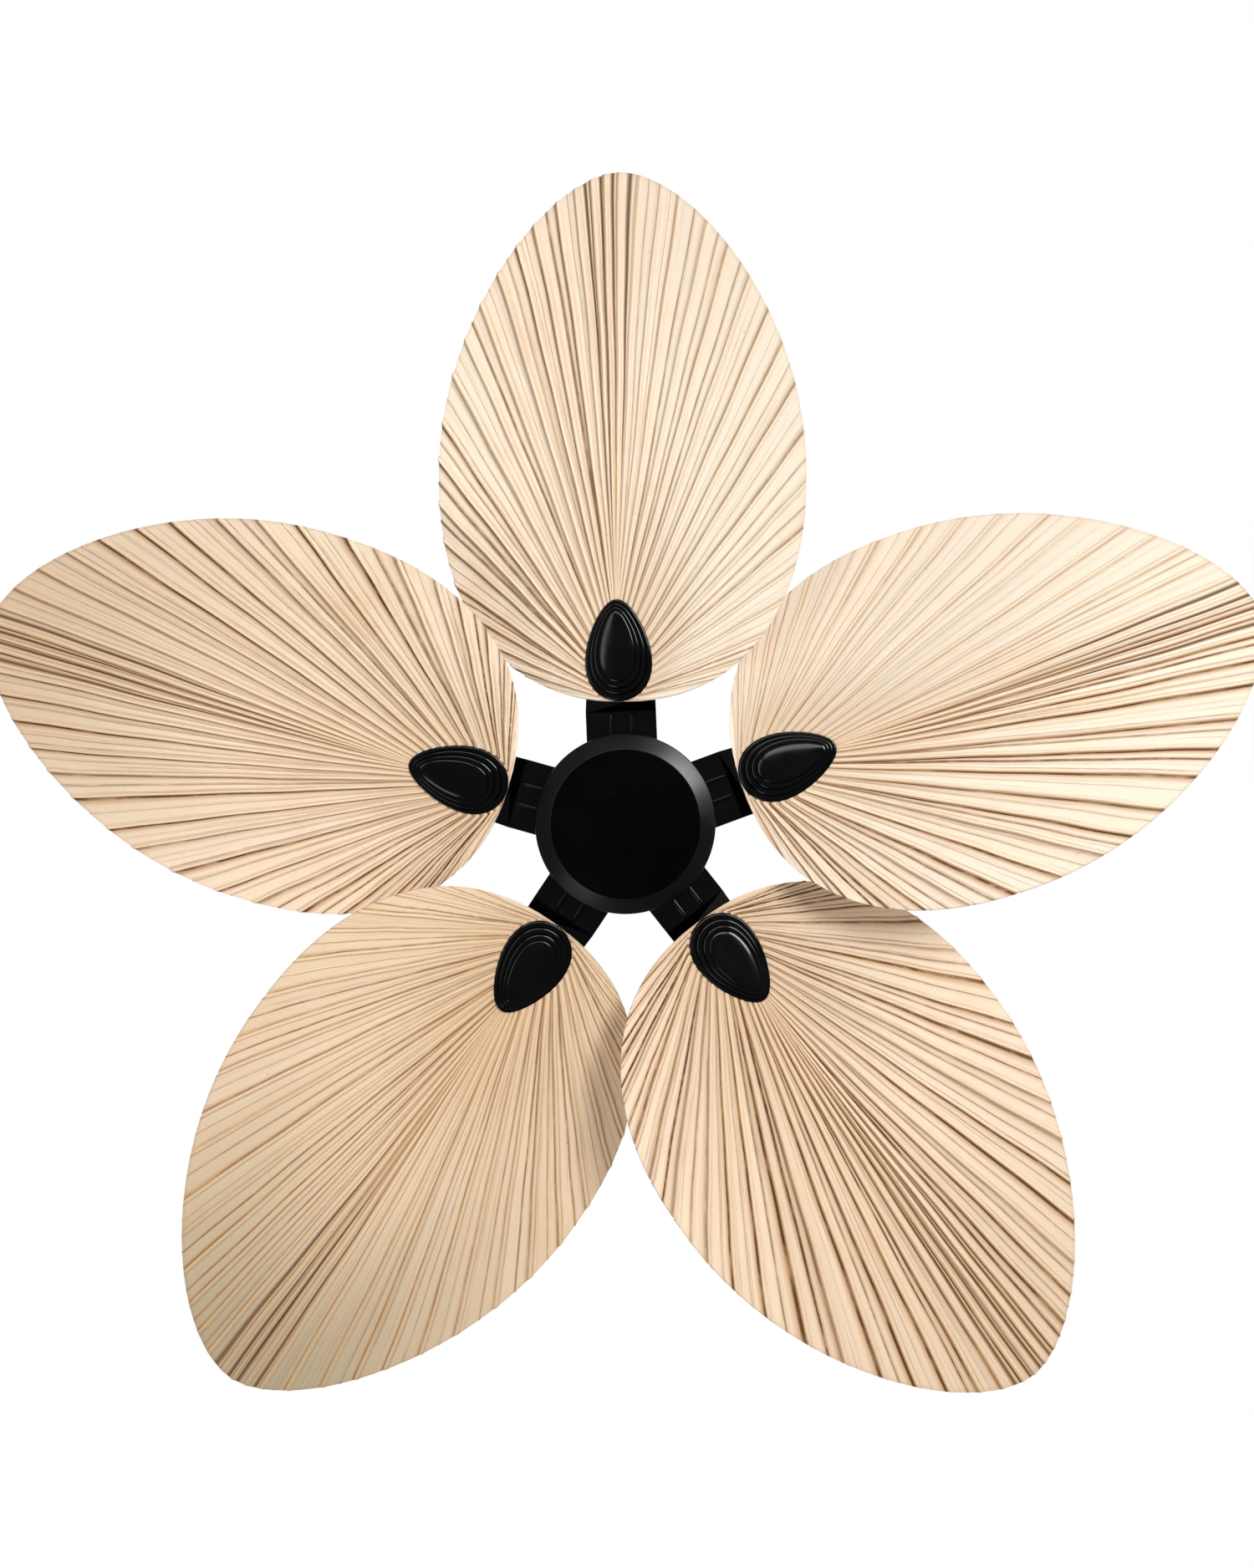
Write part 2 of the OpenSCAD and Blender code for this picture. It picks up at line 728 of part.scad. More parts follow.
module winding_end(z_low) {
    translate([0, 0, z_low]) rotate_extrude() {
        w = stator_r - slot_rim - slot_inner_r;
        low = winding_h - winding_round;
        translate([slot_inner_r, 0]) square([w, low]);
        translate([slot_inner_r + winding_round, 0]) square([w - 2 * winding_round, winding_h]);
        for (x = [winding_round, w - winding_round])
            translate([slot_inner_r + x, low]) circle(r = winding_round);
    }
}

module stator_windings() color("peru") {
    reach_h = core_h + 2 * (winding_gap + winding_lap);
    translate([0, 0, z_core - winding_gap - winding_lap]) linear_extrude(reach_h)
        for (i = [0 : stator_slots - 1]) rotate(i * 360 / stator_slots) stator_slot(0);
    winding_end(z_core + core_h + winding_gap);
    mirror([0, 0, 1]) winding_end(-z_core + winding_gap);
}

// Three leads: down the downrod and the shaft, then out to the windings
module lead_wires() color("white") {
    for (a = wire_angles) rotate([0, 0, a]) {
        translate([wire_ring_r, 0, z_wire_exit]) {
            cylinder(r = wire_r, h = z_wire_top - z_wire_exit);
            sphere(r = wire_r);
            rotate([0, 90, 0]) cylinder(r = wire_r, h = slot_inner_r - wire_ring_r - fit);
        }
    }
}

module bearing_rings(inner_r, outer_r) {
    for (z = [z_upper_bearing, z_lower_bearing]) rotate_extrude() difference() {
        translate([inner_r, z]) square([outer_r - inner_r, bearing_h]);
        translate([ball_path_r, z + bearing_h / 2]) circle(r = groove_r);
    }
}

module bearing_inner_races() color("silver") {
    bearing_rings(shaft_r + thread_fit, shaft_r + race_wall);
}

module bearing_outer_races() color("silver") {
    bearing_rings(bearing_r - race_wall, bearing_r);
}

module bearing_balls() color("white") {
    for (z = [z_upper_bearing, z_lower_bearing], i = [0 : bearing_ball_count - 1])
        rotate([0, 0, i * 360 / bearing_ball_count])
            translate([ball_path_r, 0, z + bearing_h / 2]) sphere(r = bearing_ball_r);
}

module shaft_spacer() color("silver") {
    tube(spacer_r, shaft_r + fit, z_plate, z_lower_bearing - z_plate);
}

module cap_plate() color("silver") {
    difference() {
        union() {
            disc(plate_r, z_plate - plate_h, plate_h);
            for (i = [0 : arm_count - 1]) rotate([0, 0, i * 360 / arm_count]) {
                translate([0, -arm_w / 2, z_plate - plate_h]) cube([arm_x, arm_w, plate_h]);
                translate([arm_x - plate_h, -arm_w / 2, z_plate - arm_tab_h])
                    cube([plate_h, arm_w, arm_tab_h]);
            }
        }
        disc(shaft_r + fit, z_plate - plate_h - cut, plate_h + 2 * cut);
        for (i = [0 : arm_count - 1]) rotate([0, 0, i * 360 / arm_count])
            translate([arm_x, 0, z_hub_screw]) along_x(drill, m4_r + thread_fit);
    }
}

module shaft_nut() color("silver") {
    translate([0, 0, z_plate - plate_h - nut_h]) difference() {
        cylinder(r = nut_r, h = nut_h, $fn = 6);
        translate([0, 0, -cut]) cylinder(r = shaft_r + thread_fit, h = nut_h + 2 * cut);
    }
}

// Run capacitor: a box with two terminals, held against the underside of the plate
module capacitor() color("darkslategray") {
    size = [36, 17, 18];
    box_y = nut_r + 3;
    lug = [2, 4.5, 0.8];
    lug_lap = 0.5;
    translate([-size[0] / 2, box_y, z_plate - plate_h - size[2]]) cube(size);
    for (s = [-1, 1])
        translate([(s * size[0] / 2 - lug[0]) / 2, box_y - lug[1] + lug_lap,
            z_plate - plate_h - size[2] / 2]) cube(lug);
}

module hub_section(inset) {
    r = hub_d / 2 - inset;
    face_r = hub_face_d / 2 - inset * tan(atan2(hub_bevel, hub_d / 2 - hub_face_d / 2) / 2);
    polygon([[0, z_hub_rim + (inset > 0 ? cut : 0)], [r, z_hub_rim + (inset > 0 ? cut : 0)],
        [r, z_hub_bevel], [face_r, z_hub_face + inset], [0, z_hub_face + inset]]);
}

module hub_cap() color("black") {
    difference() {
        rotate_extrude() difference() {
            hub_section(0);
            hub_section(hub_wall);
        }
        for (i = [0 : arm_count - 1]) rotate([0, 0, i * 360 / arm_count])
            translate([hub_d / 2, 0, z_hub_screw]) along_x(drill, m4_r + fit);
    }
}

module hub_cap_screws() color("black") {
    grub = 8;
    sunk = 0.4;
    for (i = [0 : arm_count - 1]) rotate([0, 0, i * 360 / arm_count])
        translate([hub_d / 2 - sunk - grub / 2, 0, z_hub_screw]) along_x(grub, m4_r);
}

/* Rotor */

z_split = z_core + core_h / 2;

module shell_screw_places() {
    for (k = [0 : blade_count - 1]) at_blade(k + 0.5) translate([shell_screw_r, 0, 0]) children();
}

module shell_cup(z_low, h, plate_low) {
    difference() {
        disc(shell_d / 2, z_low, h);
        translate([0, 0, plate_low == z_low ? shell_plate : -cut])
            disc(shell_d / 2 - shell_wall, z_low, h - shell_plate + cut);
    }
}

module upper_shell() color("gray") {
    core_top = z_core + core_h + ring_margin;
    difference() {
        union() {
            shell_cup(z_split, z_shell_top - z_split, z_shell_top);
            disc(pocket_r + pocket_wall, z_upper_bearing, z_shell_top - z_upper_bearing);
            shell_screw_places() disc(boss_r, core_top, z_shell_top - core_top);
        }
        disc(pocket_r, z_upper_bearing - cut, bearing_h + cut);
        disc(collar_r + turn_gap, z_upper_bearing, 2 * bearing_h);
        shell_screw_places() disc(m4_hole_r, z_split, z_shell_top - z_split + cut);
    }
}

module iron_screw_places(k) {
    at_blade(k) for (s = [-1, 1]) translate([iron_screw_r, s * iron_screw_spacing / 2, 0])
        children();
}

module lower_shell() color("gray") {
    core_low = z_core - ring_margin;
    difference() {
        union() {
            shell_cup(z_shell_bottom, z_split - z_shell_bottom, z_shell_bottom);
            disc(pocket_r + pocket_wall, z_shell_bottom, lower_lip + bearing_h);
            shell_screw_places() disc(boss_r, z_shell_bottom, core_low - z_shell_bottom);
        }
        disc(pocket_r, z_lower_bearing, bearing_h + cut);
        disc(spacer_r + turn_gap, z_shell_bottom - cut, 2 * bearing_h);
        shell_screw_places() disc(m4_r + thread_fit, z_shell_bottom + shell_screw_floor, shell_h);
        for (k = [0 : blade_count - 1]) iron_screw_places(k)
            disc(m5_r + thread_fit, z_shell_bottom - cut, shell_plate + 2 * cut);
    }
}

module rotor_core() color("slategray") {
    difference() {
        tube(ring_outer_r, ring_inner_r, z_core - ring_margin, core_h + 2 * ring_margin);
        shell_screw_places() disc(m4_hole_r, z_core - 2 * ring_margin, core_h + 4 * ring_margin);
    }
}

module shell_screws() color("silver") {
    shell_screw_places() translate([0, 0, z_shell_top])
        pan_screw(m4_r, m4_head_r, m4_head_h, shell_h - shell_screw_floor - shell_screw_gap);
}

// Blade iron: a flat root with two beads, a sloping twisted part and the plate behind the leaf
plate_square = 13;
plate_square_r = iron_bend_r + iron_slope + plate_square;
plate_inset = 3;
bead_rise = 1.5;
bead_end = 5;
plate_from = 56;
plate_sides = 12;
slope_lap = 1;
slope_in = 0.5;
slope_shy = 0.05;

module iron_plate_outline() {
    polygon(concat(
        [[iron_bend_r + iron_slope, iron_width / 2], [plate_square_r, iron_width / 2]],
        [for (i = [plate_sides : -1 : -plate_sides])
            egg(i * (180 - plate_from) / plate_sides, plate_inset)],
        [[plate_square_r, -iron_width / 2], [iron_bend_r + iron_slope, -iron_width / 2]]));
}

module iron_root() {
    difference() {
        translate([iron_inner_r, -iron_width / 2, z_iron_bottom])
            cube([iron_bend_r - iron_inner_r, iron_width, iron_thick]);
        for (s = [-1, 1]) translate([iron_screw_r, s * iron_screw_spacing / 2, z_iron_bottom - cut])
            cylinder(r = m5_hole_r, h = iron_thick + 2 * cut);
    }
    for (s = [-1, 1]) translate([iron_bend_r - bead_end, s * bead_spacing / 2,
        z_iron_bottom + bead_width / 2 - bead_rise]) rotate([0, -90, 0]) bead();
}

// A rod with round ends
module bead() {
    r = bead_width / 2;
    rotate_extrude() intersection() {
        translate([0, -r]) square([r, bead_length + 2 * r]);
        union() {
            square([r, bead_length]);
            for (y = [0, bead_length]) translate([0, y]) circle(r = r);
        }
    }
}

// One end of the sloping part, a hair thinner and narrower than the strap that it runs into
module slope_end() {
    translate([0, -iron_width / 2 + slope_shy, slope_shy])
        cube([slope_lap, iron_width - 2 * slope_shy, iron_thick - 2 * slope_shy]);
}

module blade_iron(k) color("black") {
    at_blade(k) iron_root();
    hull() {
        at_blade(k) translate([iron_bend_r - slope_lap - slope_in, 0, z_iron_bottom]) slope_end();
        in_blade_plane(k) translate([iron_bend_r + iron_slope + slope_in, 0, leaf_thick / 2])
            slope_end();
    }
    in_blade_plane(k) translate([0, 0, leaf_thick / 2]) difference() {
        linear_extrude(iron_thick) iron_plate_outline();
        for (p = blade_screw_places) translate([p[0], p[1], -cut])
            cylinder(r = m4_hole_r, h = iron_thick + 2 * cut);
    }
}

// Leaf: one closed sheet whose columns run from the clamped root to the cut edge
module blade_leaf(k) color(k < 2 ? "bisque" : "burlywood") {
    n = len(columns);
    rings = len(ring_steps);
    middle = [for (ring = [0 : rings - 1], column = columns) leaf_point(k, column, ring)];
    points = concat([for (p = middle) p + [0, 0, leaf_thick / 2]],
        [for (p = middle) p - [0, 0, leaf_thick / 2]]);
    low = n * rings;
    rim = n * (rings - 1);
    faces = concat(
        [for (i = [0 : rings - 2], j = [0 : n - 1]) let (a = i * n + j, b = i * n + (j + 1) % n)
            each [[a, b, b + n], [a, b + n, a + n],
                [low + a, low + b + n, low + b], [low + a, low + a + n, low + b + n]]],
        [for (j = [0 : n - 1]) let (a = rim + j, b = rim + (j + 1) % n)
            each [[a, b, low + b], [a, low + b, low + a]]],
        [[for (j = [n - 1 : -1 : 0]) j], [for (j = [0 : n - 1]) low + j]]);
    in_blade_plane(k) difference() {
        polyhedron(points, faces, convexity = 8);
        for (p = blade_screw_places) translate([p[0], p[1], -leaf_thick])
            cylinder(r = m4_hole_r, h = 2 * leaf_thick);
    }
}

// Cap: three rounded steps and a dome over an egg-shaped base, built up as rings
egg_sides = 28;
cap_steps = 3;
step_profile = [[0, 0], [0.1, 0.6], [0.45, 0.95]];
step_rise = step_profile[2][1];
dome_profile = [[0, 0], [0.3, 0.5], [1.3, 0.85]];
dome_foot = cap_steps * step_rise * cap_step_h;
cap_rings = concat(
    [for (s = [0 : cap_steps - 1], p = step_profile)
        [(s + p[0]) * cap_step_w, (s * step_rise + p[1]) * cap_step_h]],
    [for (p = dome_profile) [(cap_steps + p[0]) * cap_step_w, dome_foot + p[1] * cap_dome_h]]);

module cap_solid() {
    rings = len(cap_rings);
    points = concat(
        [for (ring = cap_rings, i = [0 : egg_sides - 1]) let (p = egg(i * 360 / egg_sides, ring[0]))
            [p[0], p[1], ring[1]]],
        [[cap_centre_r + (cap_steps + dome_profile[2][0]) * egg_shift, 0, dome_foot + cap_dome_h]]);
    apex = rings * egg_sides;
    last = apex - egg_sides;
    polyhedron(points, concat(
        [for (r = [0 : rings - 2], i = [0 : egg_sides - 1])
            let (a = r * egg_sides + i, b = r * egg_sides + (i + 1) % egg_sides)
            each [[b, a, a + egg_sides], [b, a + egg_sides, b + egg_sides]]],
        [for (i = [0 : egg_sides - 1]) [last + (i + 1) % egg_sides, last + i, apex]],
        [[for (i = [0 : egg_sides - 1]) i]]), convexity = 4);
}

module blade_cap(k) color("black") {
    in_blade_plane(k) translate([0, 0, -leaf_thick / 2]) rotate([180, 0, 0]) difference() {
        cap_solid();
        for (p = blade_screw_places) translate([p[0], p[1], -cut])
            cylinder(r = m4_r + thread_fit, h = cap_hole_depth + cut);
    }
}

module iron_screws() color("silver") {
    for (k = [0 : blade_count - 1]) iron_screw_places(k) translate([0, 0, z_iron_bottom])
        rotate([180, 0, 0]) pan_screw(m5_r, m5_head_r, m5_head_h, iron_thick + shell_plate);
}

module blade_screws() color("silver") {
    tip_gap = 0.5;
    stack = iron_thick + leaf_thick + cap_hole_depth - tip_gap;
    for (k = [0 : blade_count - 1], p = blade_screw_places) in_blade_plane(k)
        translate([p[0], p[1], leaf_thick / 2 + iron_thick])
            pan_screw(m4_r, m4_head_r, m4_head_h, stack);
}

hanger_bracket();
ground_screw();
canopy();
canopy_screws();
hanger_ball();
ball_pin();
ball_set_screw();
downrod();
motor_yoke();
yoke_pin();
yoke_set_screws();
coupling_cover();
motor_housing();
housing_screws();
motor_shaft();
stator_core();
stator_windings();
lead_wires();
bearing_inner_races();
shaft_spacer();
cap_plate();
shaft_nut();
capacitor();
hub_cap();
hub_cap_screws();
upper_shell();
lower_shell();
rotor_core();
shell_screws();
bearing_outer_races();
bearing_balls();
iron_screws();
blade_screws();
blade_iron(0);  // blade_iron_1
blade_iron(1);  // blade_iron_2
blade_iron(2);  // blade_iron_3
blade_iron(3);  // blade_iron_4
blade_iron(4);  // blade_iron_5
blade_leaf(0);  // blade_leaf_1
blade_leaf(1);  // blade_leaf_2
blade_leaf(2);  // blade_leaf_3
blade_leaf(3);  // blade_leaf_4
blade_leaf(4);  // blade_leaf_5
blade_cap(0);  // blade_cap_1
blade_cap(1);  // blade_cap_2
blade_cap(2);  // blade_cap_3
blade_cap(3);  // blade_cap_4
blade_cap(4);  // blade_cap_5
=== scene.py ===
"""Ceiling fan with five pleated palm leaf blades: its looks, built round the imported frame.

Everything is in metres, in the frame's own axes: the ceiling is z = 0 and the fan hangs towards -Z.
"""

import logging
import math
import random
from dataclasses import dataclass
from enum import Enum

import bmesh
import bpy
import numpy as np
from mathutils import Euler, Matrix, Vector


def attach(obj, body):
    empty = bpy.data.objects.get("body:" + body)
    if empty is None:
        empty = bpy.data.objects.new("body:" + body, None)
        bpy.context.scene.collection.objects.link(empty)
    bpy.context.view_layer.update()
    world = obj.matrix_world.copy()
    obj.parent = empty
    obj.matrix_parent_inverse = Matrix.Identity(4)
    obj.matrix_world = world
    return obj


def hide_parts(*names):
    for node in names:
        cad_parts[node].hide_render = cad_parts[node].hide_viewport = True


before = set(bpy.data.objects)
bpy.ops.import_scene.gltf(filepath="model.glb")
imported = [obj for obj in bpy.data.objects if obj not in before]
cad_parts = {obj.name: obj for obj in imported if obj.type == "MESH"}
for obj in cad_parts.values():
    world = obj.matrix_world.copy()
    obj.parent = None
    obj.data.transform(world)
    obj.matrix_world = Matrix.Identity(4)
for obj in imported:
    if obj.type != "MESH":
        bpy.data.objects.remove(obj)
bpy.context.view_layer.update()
BLADES = 5

Triple = tuple[float, float, float]
Curve = tuple[tuple[float, ...], tuple[float, ...]]
Span = tuple[float, float]
Array = np.ndarray
Pair = tuple[Array, Array]
Inputs = dict[int | str, object]
Material = bpy.types.Material
Mesh = bmesh.types.BMesh
Socket = bpy.types.NodeSocket

log = logging.getLogger("palm_fan")
logging.basicConfig(level=logging.INFO, format="%(message)s")


class Body(Enum):
    """The bodies of the frame that the new pieces ride on."""

    UNIT = "hanging_unit"
    ROTOR = "rotor"


class Slot(Enum):
    """The record's material slots, passed along with the new pieces."""

    PALE = "leaf_pale"
    TAN = "leaf_tan"
    BLACK = "black_satin"
    CAP = "black_cap"


class Reach(Enum):
    """Which kind of reflection a lamp takes part in."""

    BOTH = "both"
    DULL = "dull"
    GLOSS = "gloss"


def linear(rgb: Triple) -> tuple[float, ...]:
    """Turn a colour as it is seen, from 0 to 255, into linear red, green, blue and alpha."""
    shares = [c / 255 for c in rgb]
    return (*(c / 12.92 if c <= 0.04045 else ((c + 0.055) / 1.055) ** 2.4 for c in shares), 1.0)


class Graph:
    """The node tree of a material or a world, with short calls for its nodes."""

    def __init__(self, owner: Material | bpy.types.World, output: str) -> None:
        """Empty the tree and give it its output node.

        Args:
            owner: the material or world.
            output: the kind of its output node.
        """
        owner.use_nodes = True
        self.tree = owner.node_tree
        self.tree.nodes.clear()
        self.output = self.add(output)

    def feed(self, node: bpy.types.Node, inputs: Inputs) -> None:
        """Give inputs of a node a plain value each, or a link from another node's socket.

        Args:
            node: the node.
            inputs: the value or socket for each input, by its number or name.
        """
        for key, value in inputs.items():
            if isinstance(value, Socket):
                self.tree.links.new(value, node.inputs[key])
            else:
                node.inputs[key].default_value = value

    def add(self, kind: str, inputs: Inputs | None = None, **settings: str) -> bpy.types.Node:
        """Add a node.

        Args:
            kind: the node's type.
            inputs: the value or socket for each input that is set.
            settings: the node's own settings.

        Returns:
            The node.
        """
        node = self.tree.nodes.new(f"ShaderNode{kind}")
        for name, value in settings.items():
            setattr(node, name, value)
        self.feed(node, inputs or {})
        return node

    def math(self, operation: str, a: object, b: object = 0.0) -> Socket:
        """Join two values or sockets by one Math node."""
        return self.add("Math", {0: a, 1: b}, operation=operation).outputs[0]

    def times(self, a: object, b: object) -> Socket:
        """Multiply two values."""
        return self.math("MULTIPLY", a, b)

    def larger(self, a: object, b: object) -> Socket:
        """Take the larger of two values."""
        return self.math("MAXIMUM", a, b)

    def by_ray(self, lighting: float, shown: float) -> Socket:
        """Give one value to rays that light the object and another to all that show a picture.

        Args:
            lighting: the value for the rays that light the object.
            shown: the value for camera, mirror and transmission rays.

        Returns:
            The value.
        """
        path = self.add("LightPath").outputs
        seen = self.larger(path["Is Camera Ray"], path["Is Glossy Ray"])
        seen = self.larger(seen, path["Is Transmission Ray"])
        return self.add("MapRange", {0: seen, 3: lighting, 4: shown}).outputs[0]


class Surface(Graph):
    """The node tree of a finish, round one Principled shader."""

    def __init__(self, name: str) -> None:
        """Make a material that holds only the shader.

        Args:
            name: the material's name.
        """
        self.material = bpy.data.materials.new(name)
        super().__init__(self.material, "OutputMaterial")
        self.shader = self.add("BsdfPrincipled")
        self.feed(self.output, {0: self.shader.outputs[0]})
        coordinates = self.add("TexCoord").outputs
        self.where, self.map = coordinates["Object"], coordinates["UV"]

    def fit(self, value: object, low: float, high: float, to_low: float = 0.0,
            to_high: float = 1.0) -> Socket:
        """Map a value smoothly from low and high to to_low and to_high."""
        inputs = dict(enumerate((value, low, high, to_low, to_high)))
        return self.add("MapRange", inputs, interpolation_type="SMOOTHSTEP").outputs[0]

    def cover(self, base: Triple | Socket, *layers: tuple[object, Triple]) -> Socket:
        """Lay colours over a base, one by one.

        Args:
            base: the lowest colour, as a socket or as it is seen, from 0 to 255.
            layers: the share of each layer, and its colour as it is seen.

        Returns:
            The covered colour.
        """
        base = base if isinstance(base, Socket) else linear(base)
        for share, colour in layers:
            inputs = {0: share, 6: base, 7: linear(colour)}
            base = self.add("Mix", inputs, data_type="RGBA").outputs[2]
        return base

    def noise(self, vector: object, scale: float, detail: float, roughness: float) -> Socket:
        """Add a noise pattern from 0 to 1, with finer layers by number and strength."""
        inputs = {"Vector": vector, "Scale": scale, "Detail": detail, "Roughness": roughness}
        return self.add("TexNoise", inputs).outputs[0]

    def random(self, value: object) -> Socket:
        """Give each whole number its own random value from 0 to 1."""
        return self.add("TexWhiteNoise", {"W": value}, noise_dimensions="1D").outputs[0]

    def vector(self, *values: object) -> Socket:
        """Join up to three values to one vector."""
        return self.add("CombineXYZ", dict(enumerate(values))).outputs[0]

    def split(self, vector: object) -> tuple[Socket, ...]:
        """Part a vector into its three values."""
        return tuple(self.add("SeparateXYZ", {0: vector}).outputs)

    def bump(self, height: object, distance: float, strength: float) -> None:
        """Raise the surface by a pattern from 0 to 1, whose real height is in metres."""
        inputs = {"Strength": strength, "Distance": distance, "Height": height}
        self.feed(self.shader, {"Normal": self.add("Bump", inputs).outputs[0]})

    def set(self, **inputs: object) -> None:
        """Set inputs of the shader, with the underlines of their names read as spaces."""
        self.feed(self.shader, {name.replace("_", " "): value for name, value in inputs.items()})


class LeafSurface(Surface):
    """The node tree of a leaf, with the places and patterns that its colours and lines share."""

    SEED_STEP = 40.0
    SECOND_DRAW = 300.5
    THIRD_DRAW = 700.5

    def __init__(self, name: str, seed: float, middle: float) -> None:
        """Read the leaf's UV map and add the shared patterns.

        Args:
            name: the material's name.
            seed: the leaf's own number, which shifts its patterns.
            middle: the pleat count at the midrib.
        """
        super().__init__(name)
        self.x, self.y, _ = self.split(self.map)
        self.off = self.math("ADD", self.x, self.SEED_STEP * seed)
        self.from_mid = self.math("SUBTRACT", self.x, middle)
        self.near_mid = self.math("ABSOLUTE", self.from_mid)
        self.fold = self.math("PINGPONG", self.x, 0.5)
        half_pleat = self.math("FLOOR", self.times(self.off, 2.0))
        self.panel = self.random(half_pleat)
        self.panel_b = self.random(self.math("ADD", half_pleat, self.SECOND_DRAW))
        own = self.random(self.math("ADD", self.math("FLOOR", self.off), self.THIRD_DRAW))
        self.crease = self.larger(own, self.fit(self.near_mid, 1.9, 1.2))
        self.fibre = self.strands(42.0, 7.0, 4, 0.6)
        self.streak = self.strands(9.0, 2.2, 3, 0.55)

    def strands(self, across: float, along: float, detail: float, roughness: float) -> Socket:
        """Add noise that is drawn out along the folds, by its fineness across and along them."""
        place = self.vector(self.times(self.off, across), self.times(self.y, along))
        return self.noise(place, 1.0, detail, roughness)


@dataclass(frozen=True)
class PalmFinish:
    """Dried palm leaf: cream panels with fine fibres, creases brown with painted shade, and a darker root
    and tip.

    Colours are as seen, from 0 to 255. The leaf's UV map gives the pleat count from the first
    edge in x, with a ridge at each whole number, and the share of the way to the margin in y.
    Each ridge has a dark line of painted shade along the foot on its side away from the key lamp, at 0.2
    or 0.8 of a pleat.
    """

    name: str
    upper: Triple
    lower: Triple
    tip: Triple
    # colour of the dark lines: crease and hair lines, and the line of painted shade at each ridge's foot
    # away from the key lamp
    line: Triple
    # strength of the lines and of the painted shade round them, for the lower and upper half of the leaf
    strength: Span
    line_width: float
    # the foot, 0.2 or 0.8 of a pleat, that lies away from the key lamp and carries the line of painted
    # shade
    shaded_foot: float
    seed: float
    middle: float = 18.0
    foot: float = 0.2
    warm: Triple = (218, 184, 144)
    straw: Triple = (232, 214, 180)
    pink: Triple = (238, 214, 198)
    dry_fibre: Triple = (188, 152, 110)
    pale_fibre: Triple = (255, 244, 224)
    midrib: Triple = (206, 172, 132)
    # painted shade: dark brown in the valleys of the folds near the midrib, over their darker fibre
    valley_shade: Triple = (92, 58, 28)
    # painted shade: warm brown on the sloping flanks of every ridge
    flank_shade: Triple = (206, 166, 112)
    # painted shade: dark gaps between the folds at the root
    root_gap_shade: Triple = (134, 98, 60)
    # painted shade: brown band round the lines at the ridges' feet away from the key lamp and round the
    # creases
    stain: Triple = (184, 136, 84)
    spot: Triple = (150, 112, 74)
    gloss: float = 0.1
    fibre_height: float = 0.0004

    def build(self) -> Material:
        """Make the material.

        Returns:
            The leaf's material.
        """
        g = LeafSurface(self.name, self.seed, self.middle)
        base = self.colours(g)
        lines, shade_halo = self.lines(g)
        speck = g.noise(g.where, 260.0, 2, 0.5)
        base = g.cover(base, (shade_halo, self.stain), (lines, self.line),
                       (g.fit(speck, 0.68, 0.8, 0.0, 0.35), self.spot))
        g.set(Base_Color=base, Roughness=g.fit(g.fibre, 0.2, 0.8, 0.58, 0.74),
              Specular_IOR_Level=self.gloss)
        height = g.math("ADD", g.times(g.fibre, 0.7), g.times(g.streak, 0.5))
        g.bump(height, self.fibre_height, 0.55)
        return g.material

    def colours(self, g: LeafSurface) -> Socket:
        """Colour the panels, tip, root and midrib, and paint shade on the ridges' flanks, in the valleys
        near the midrib and in the gaps at the root.

        Args:
            g: the leaf's node tree.

        Returns:
            The colour without its lines.
        """
        cloud = g.noise(g.where, 11.0, 4, 0.6)
        tip = g.times(g.fit(g.near_mid, 12.0, 2.0, 0.0, 0.9), g.fit(g.y, 0.35, 1.0))
        root = g.times(g.fit(g.y, 0.3, 0.0, 0.0, 0.3), g.fit(g.streak, 0.3, 0.7, 0.5, 1.0))
        rib = g.times(g.fit(g.near_mid, 0.5, 0.1), g.fit(g.y, 0.7, 0.1, 0.1, 0.3))
        # painted shade in the valleys near the midrib
        valley_shade = g.times(g.fit(g.fold, 0.32, 0.47), g.fit(g.near_mid, 2.6, 1.7))
        # painted shade on the sloping flanks of each ridge
        side = g.times(g.fit(g.fold, 0.2, 0.12), g.fit(g.fold, 0.02, 0.08))
        # painted shade in the gaps between the folds at the root
        gap = g.times(g.fit(g.fold, 0.26, 0.5), g.fit(g.y, 0.42, 0.02, 0.0, 0.72))
        return g.cover(
            self.lower,
            (g.fit(g.from_mid, -0.6, 0.6), self.upper),
            (g.times(g.panel, 0.26), self.straw),
            (g.times(g.panel_b, 0.22), self.pink),
            (g.fit(cloud, 0.52, 0.78, 0.0, 0.36), self.warm),
            (g.fit(g.streak, 0.55, 0.8, 0.0, 0.3), self.warm),
            (g.fit(g.fibre, 0.5, 0.85, 0.0, 0.28), self.dry_fibre),
            (g.fit(g.fibre, 0.48, 0.15, 0.0, 0.2), self.pale_fibre),
            (tip, self.tip),
            (root, self.warm),
            (rib, self.midrib),
            # the last three layers are painted shade: valleys near the midrib, ridge flanks and root gaps
            (g.times(valley_shade, 0.96), self.valley_shade),
            (g.times(side, 0.42), self.flank_shade),
            (g.times(gap, g.fit(g.crease, 0.1, 0.8, 0.35, 1.0)), self.root_gap_shade),
        )

    def lines(self, g: LeafSurface) -> tuple[Socket, Socket]:
        """Draw the dark lines at the ridges' feet and in the creases, and hair lines between; the line at
        each ridge's foot away from the key lamp is painted shade, and the crease lines are darker fibre
        with painted shade.

        Args:
            g: the leaf's node tree.

        Returns:
            The share of the dark lines and that of the brown painted shade round them.
        """
        wide = g.fit(g.y, 0.0, 0.6, 0.1, self.line_width)
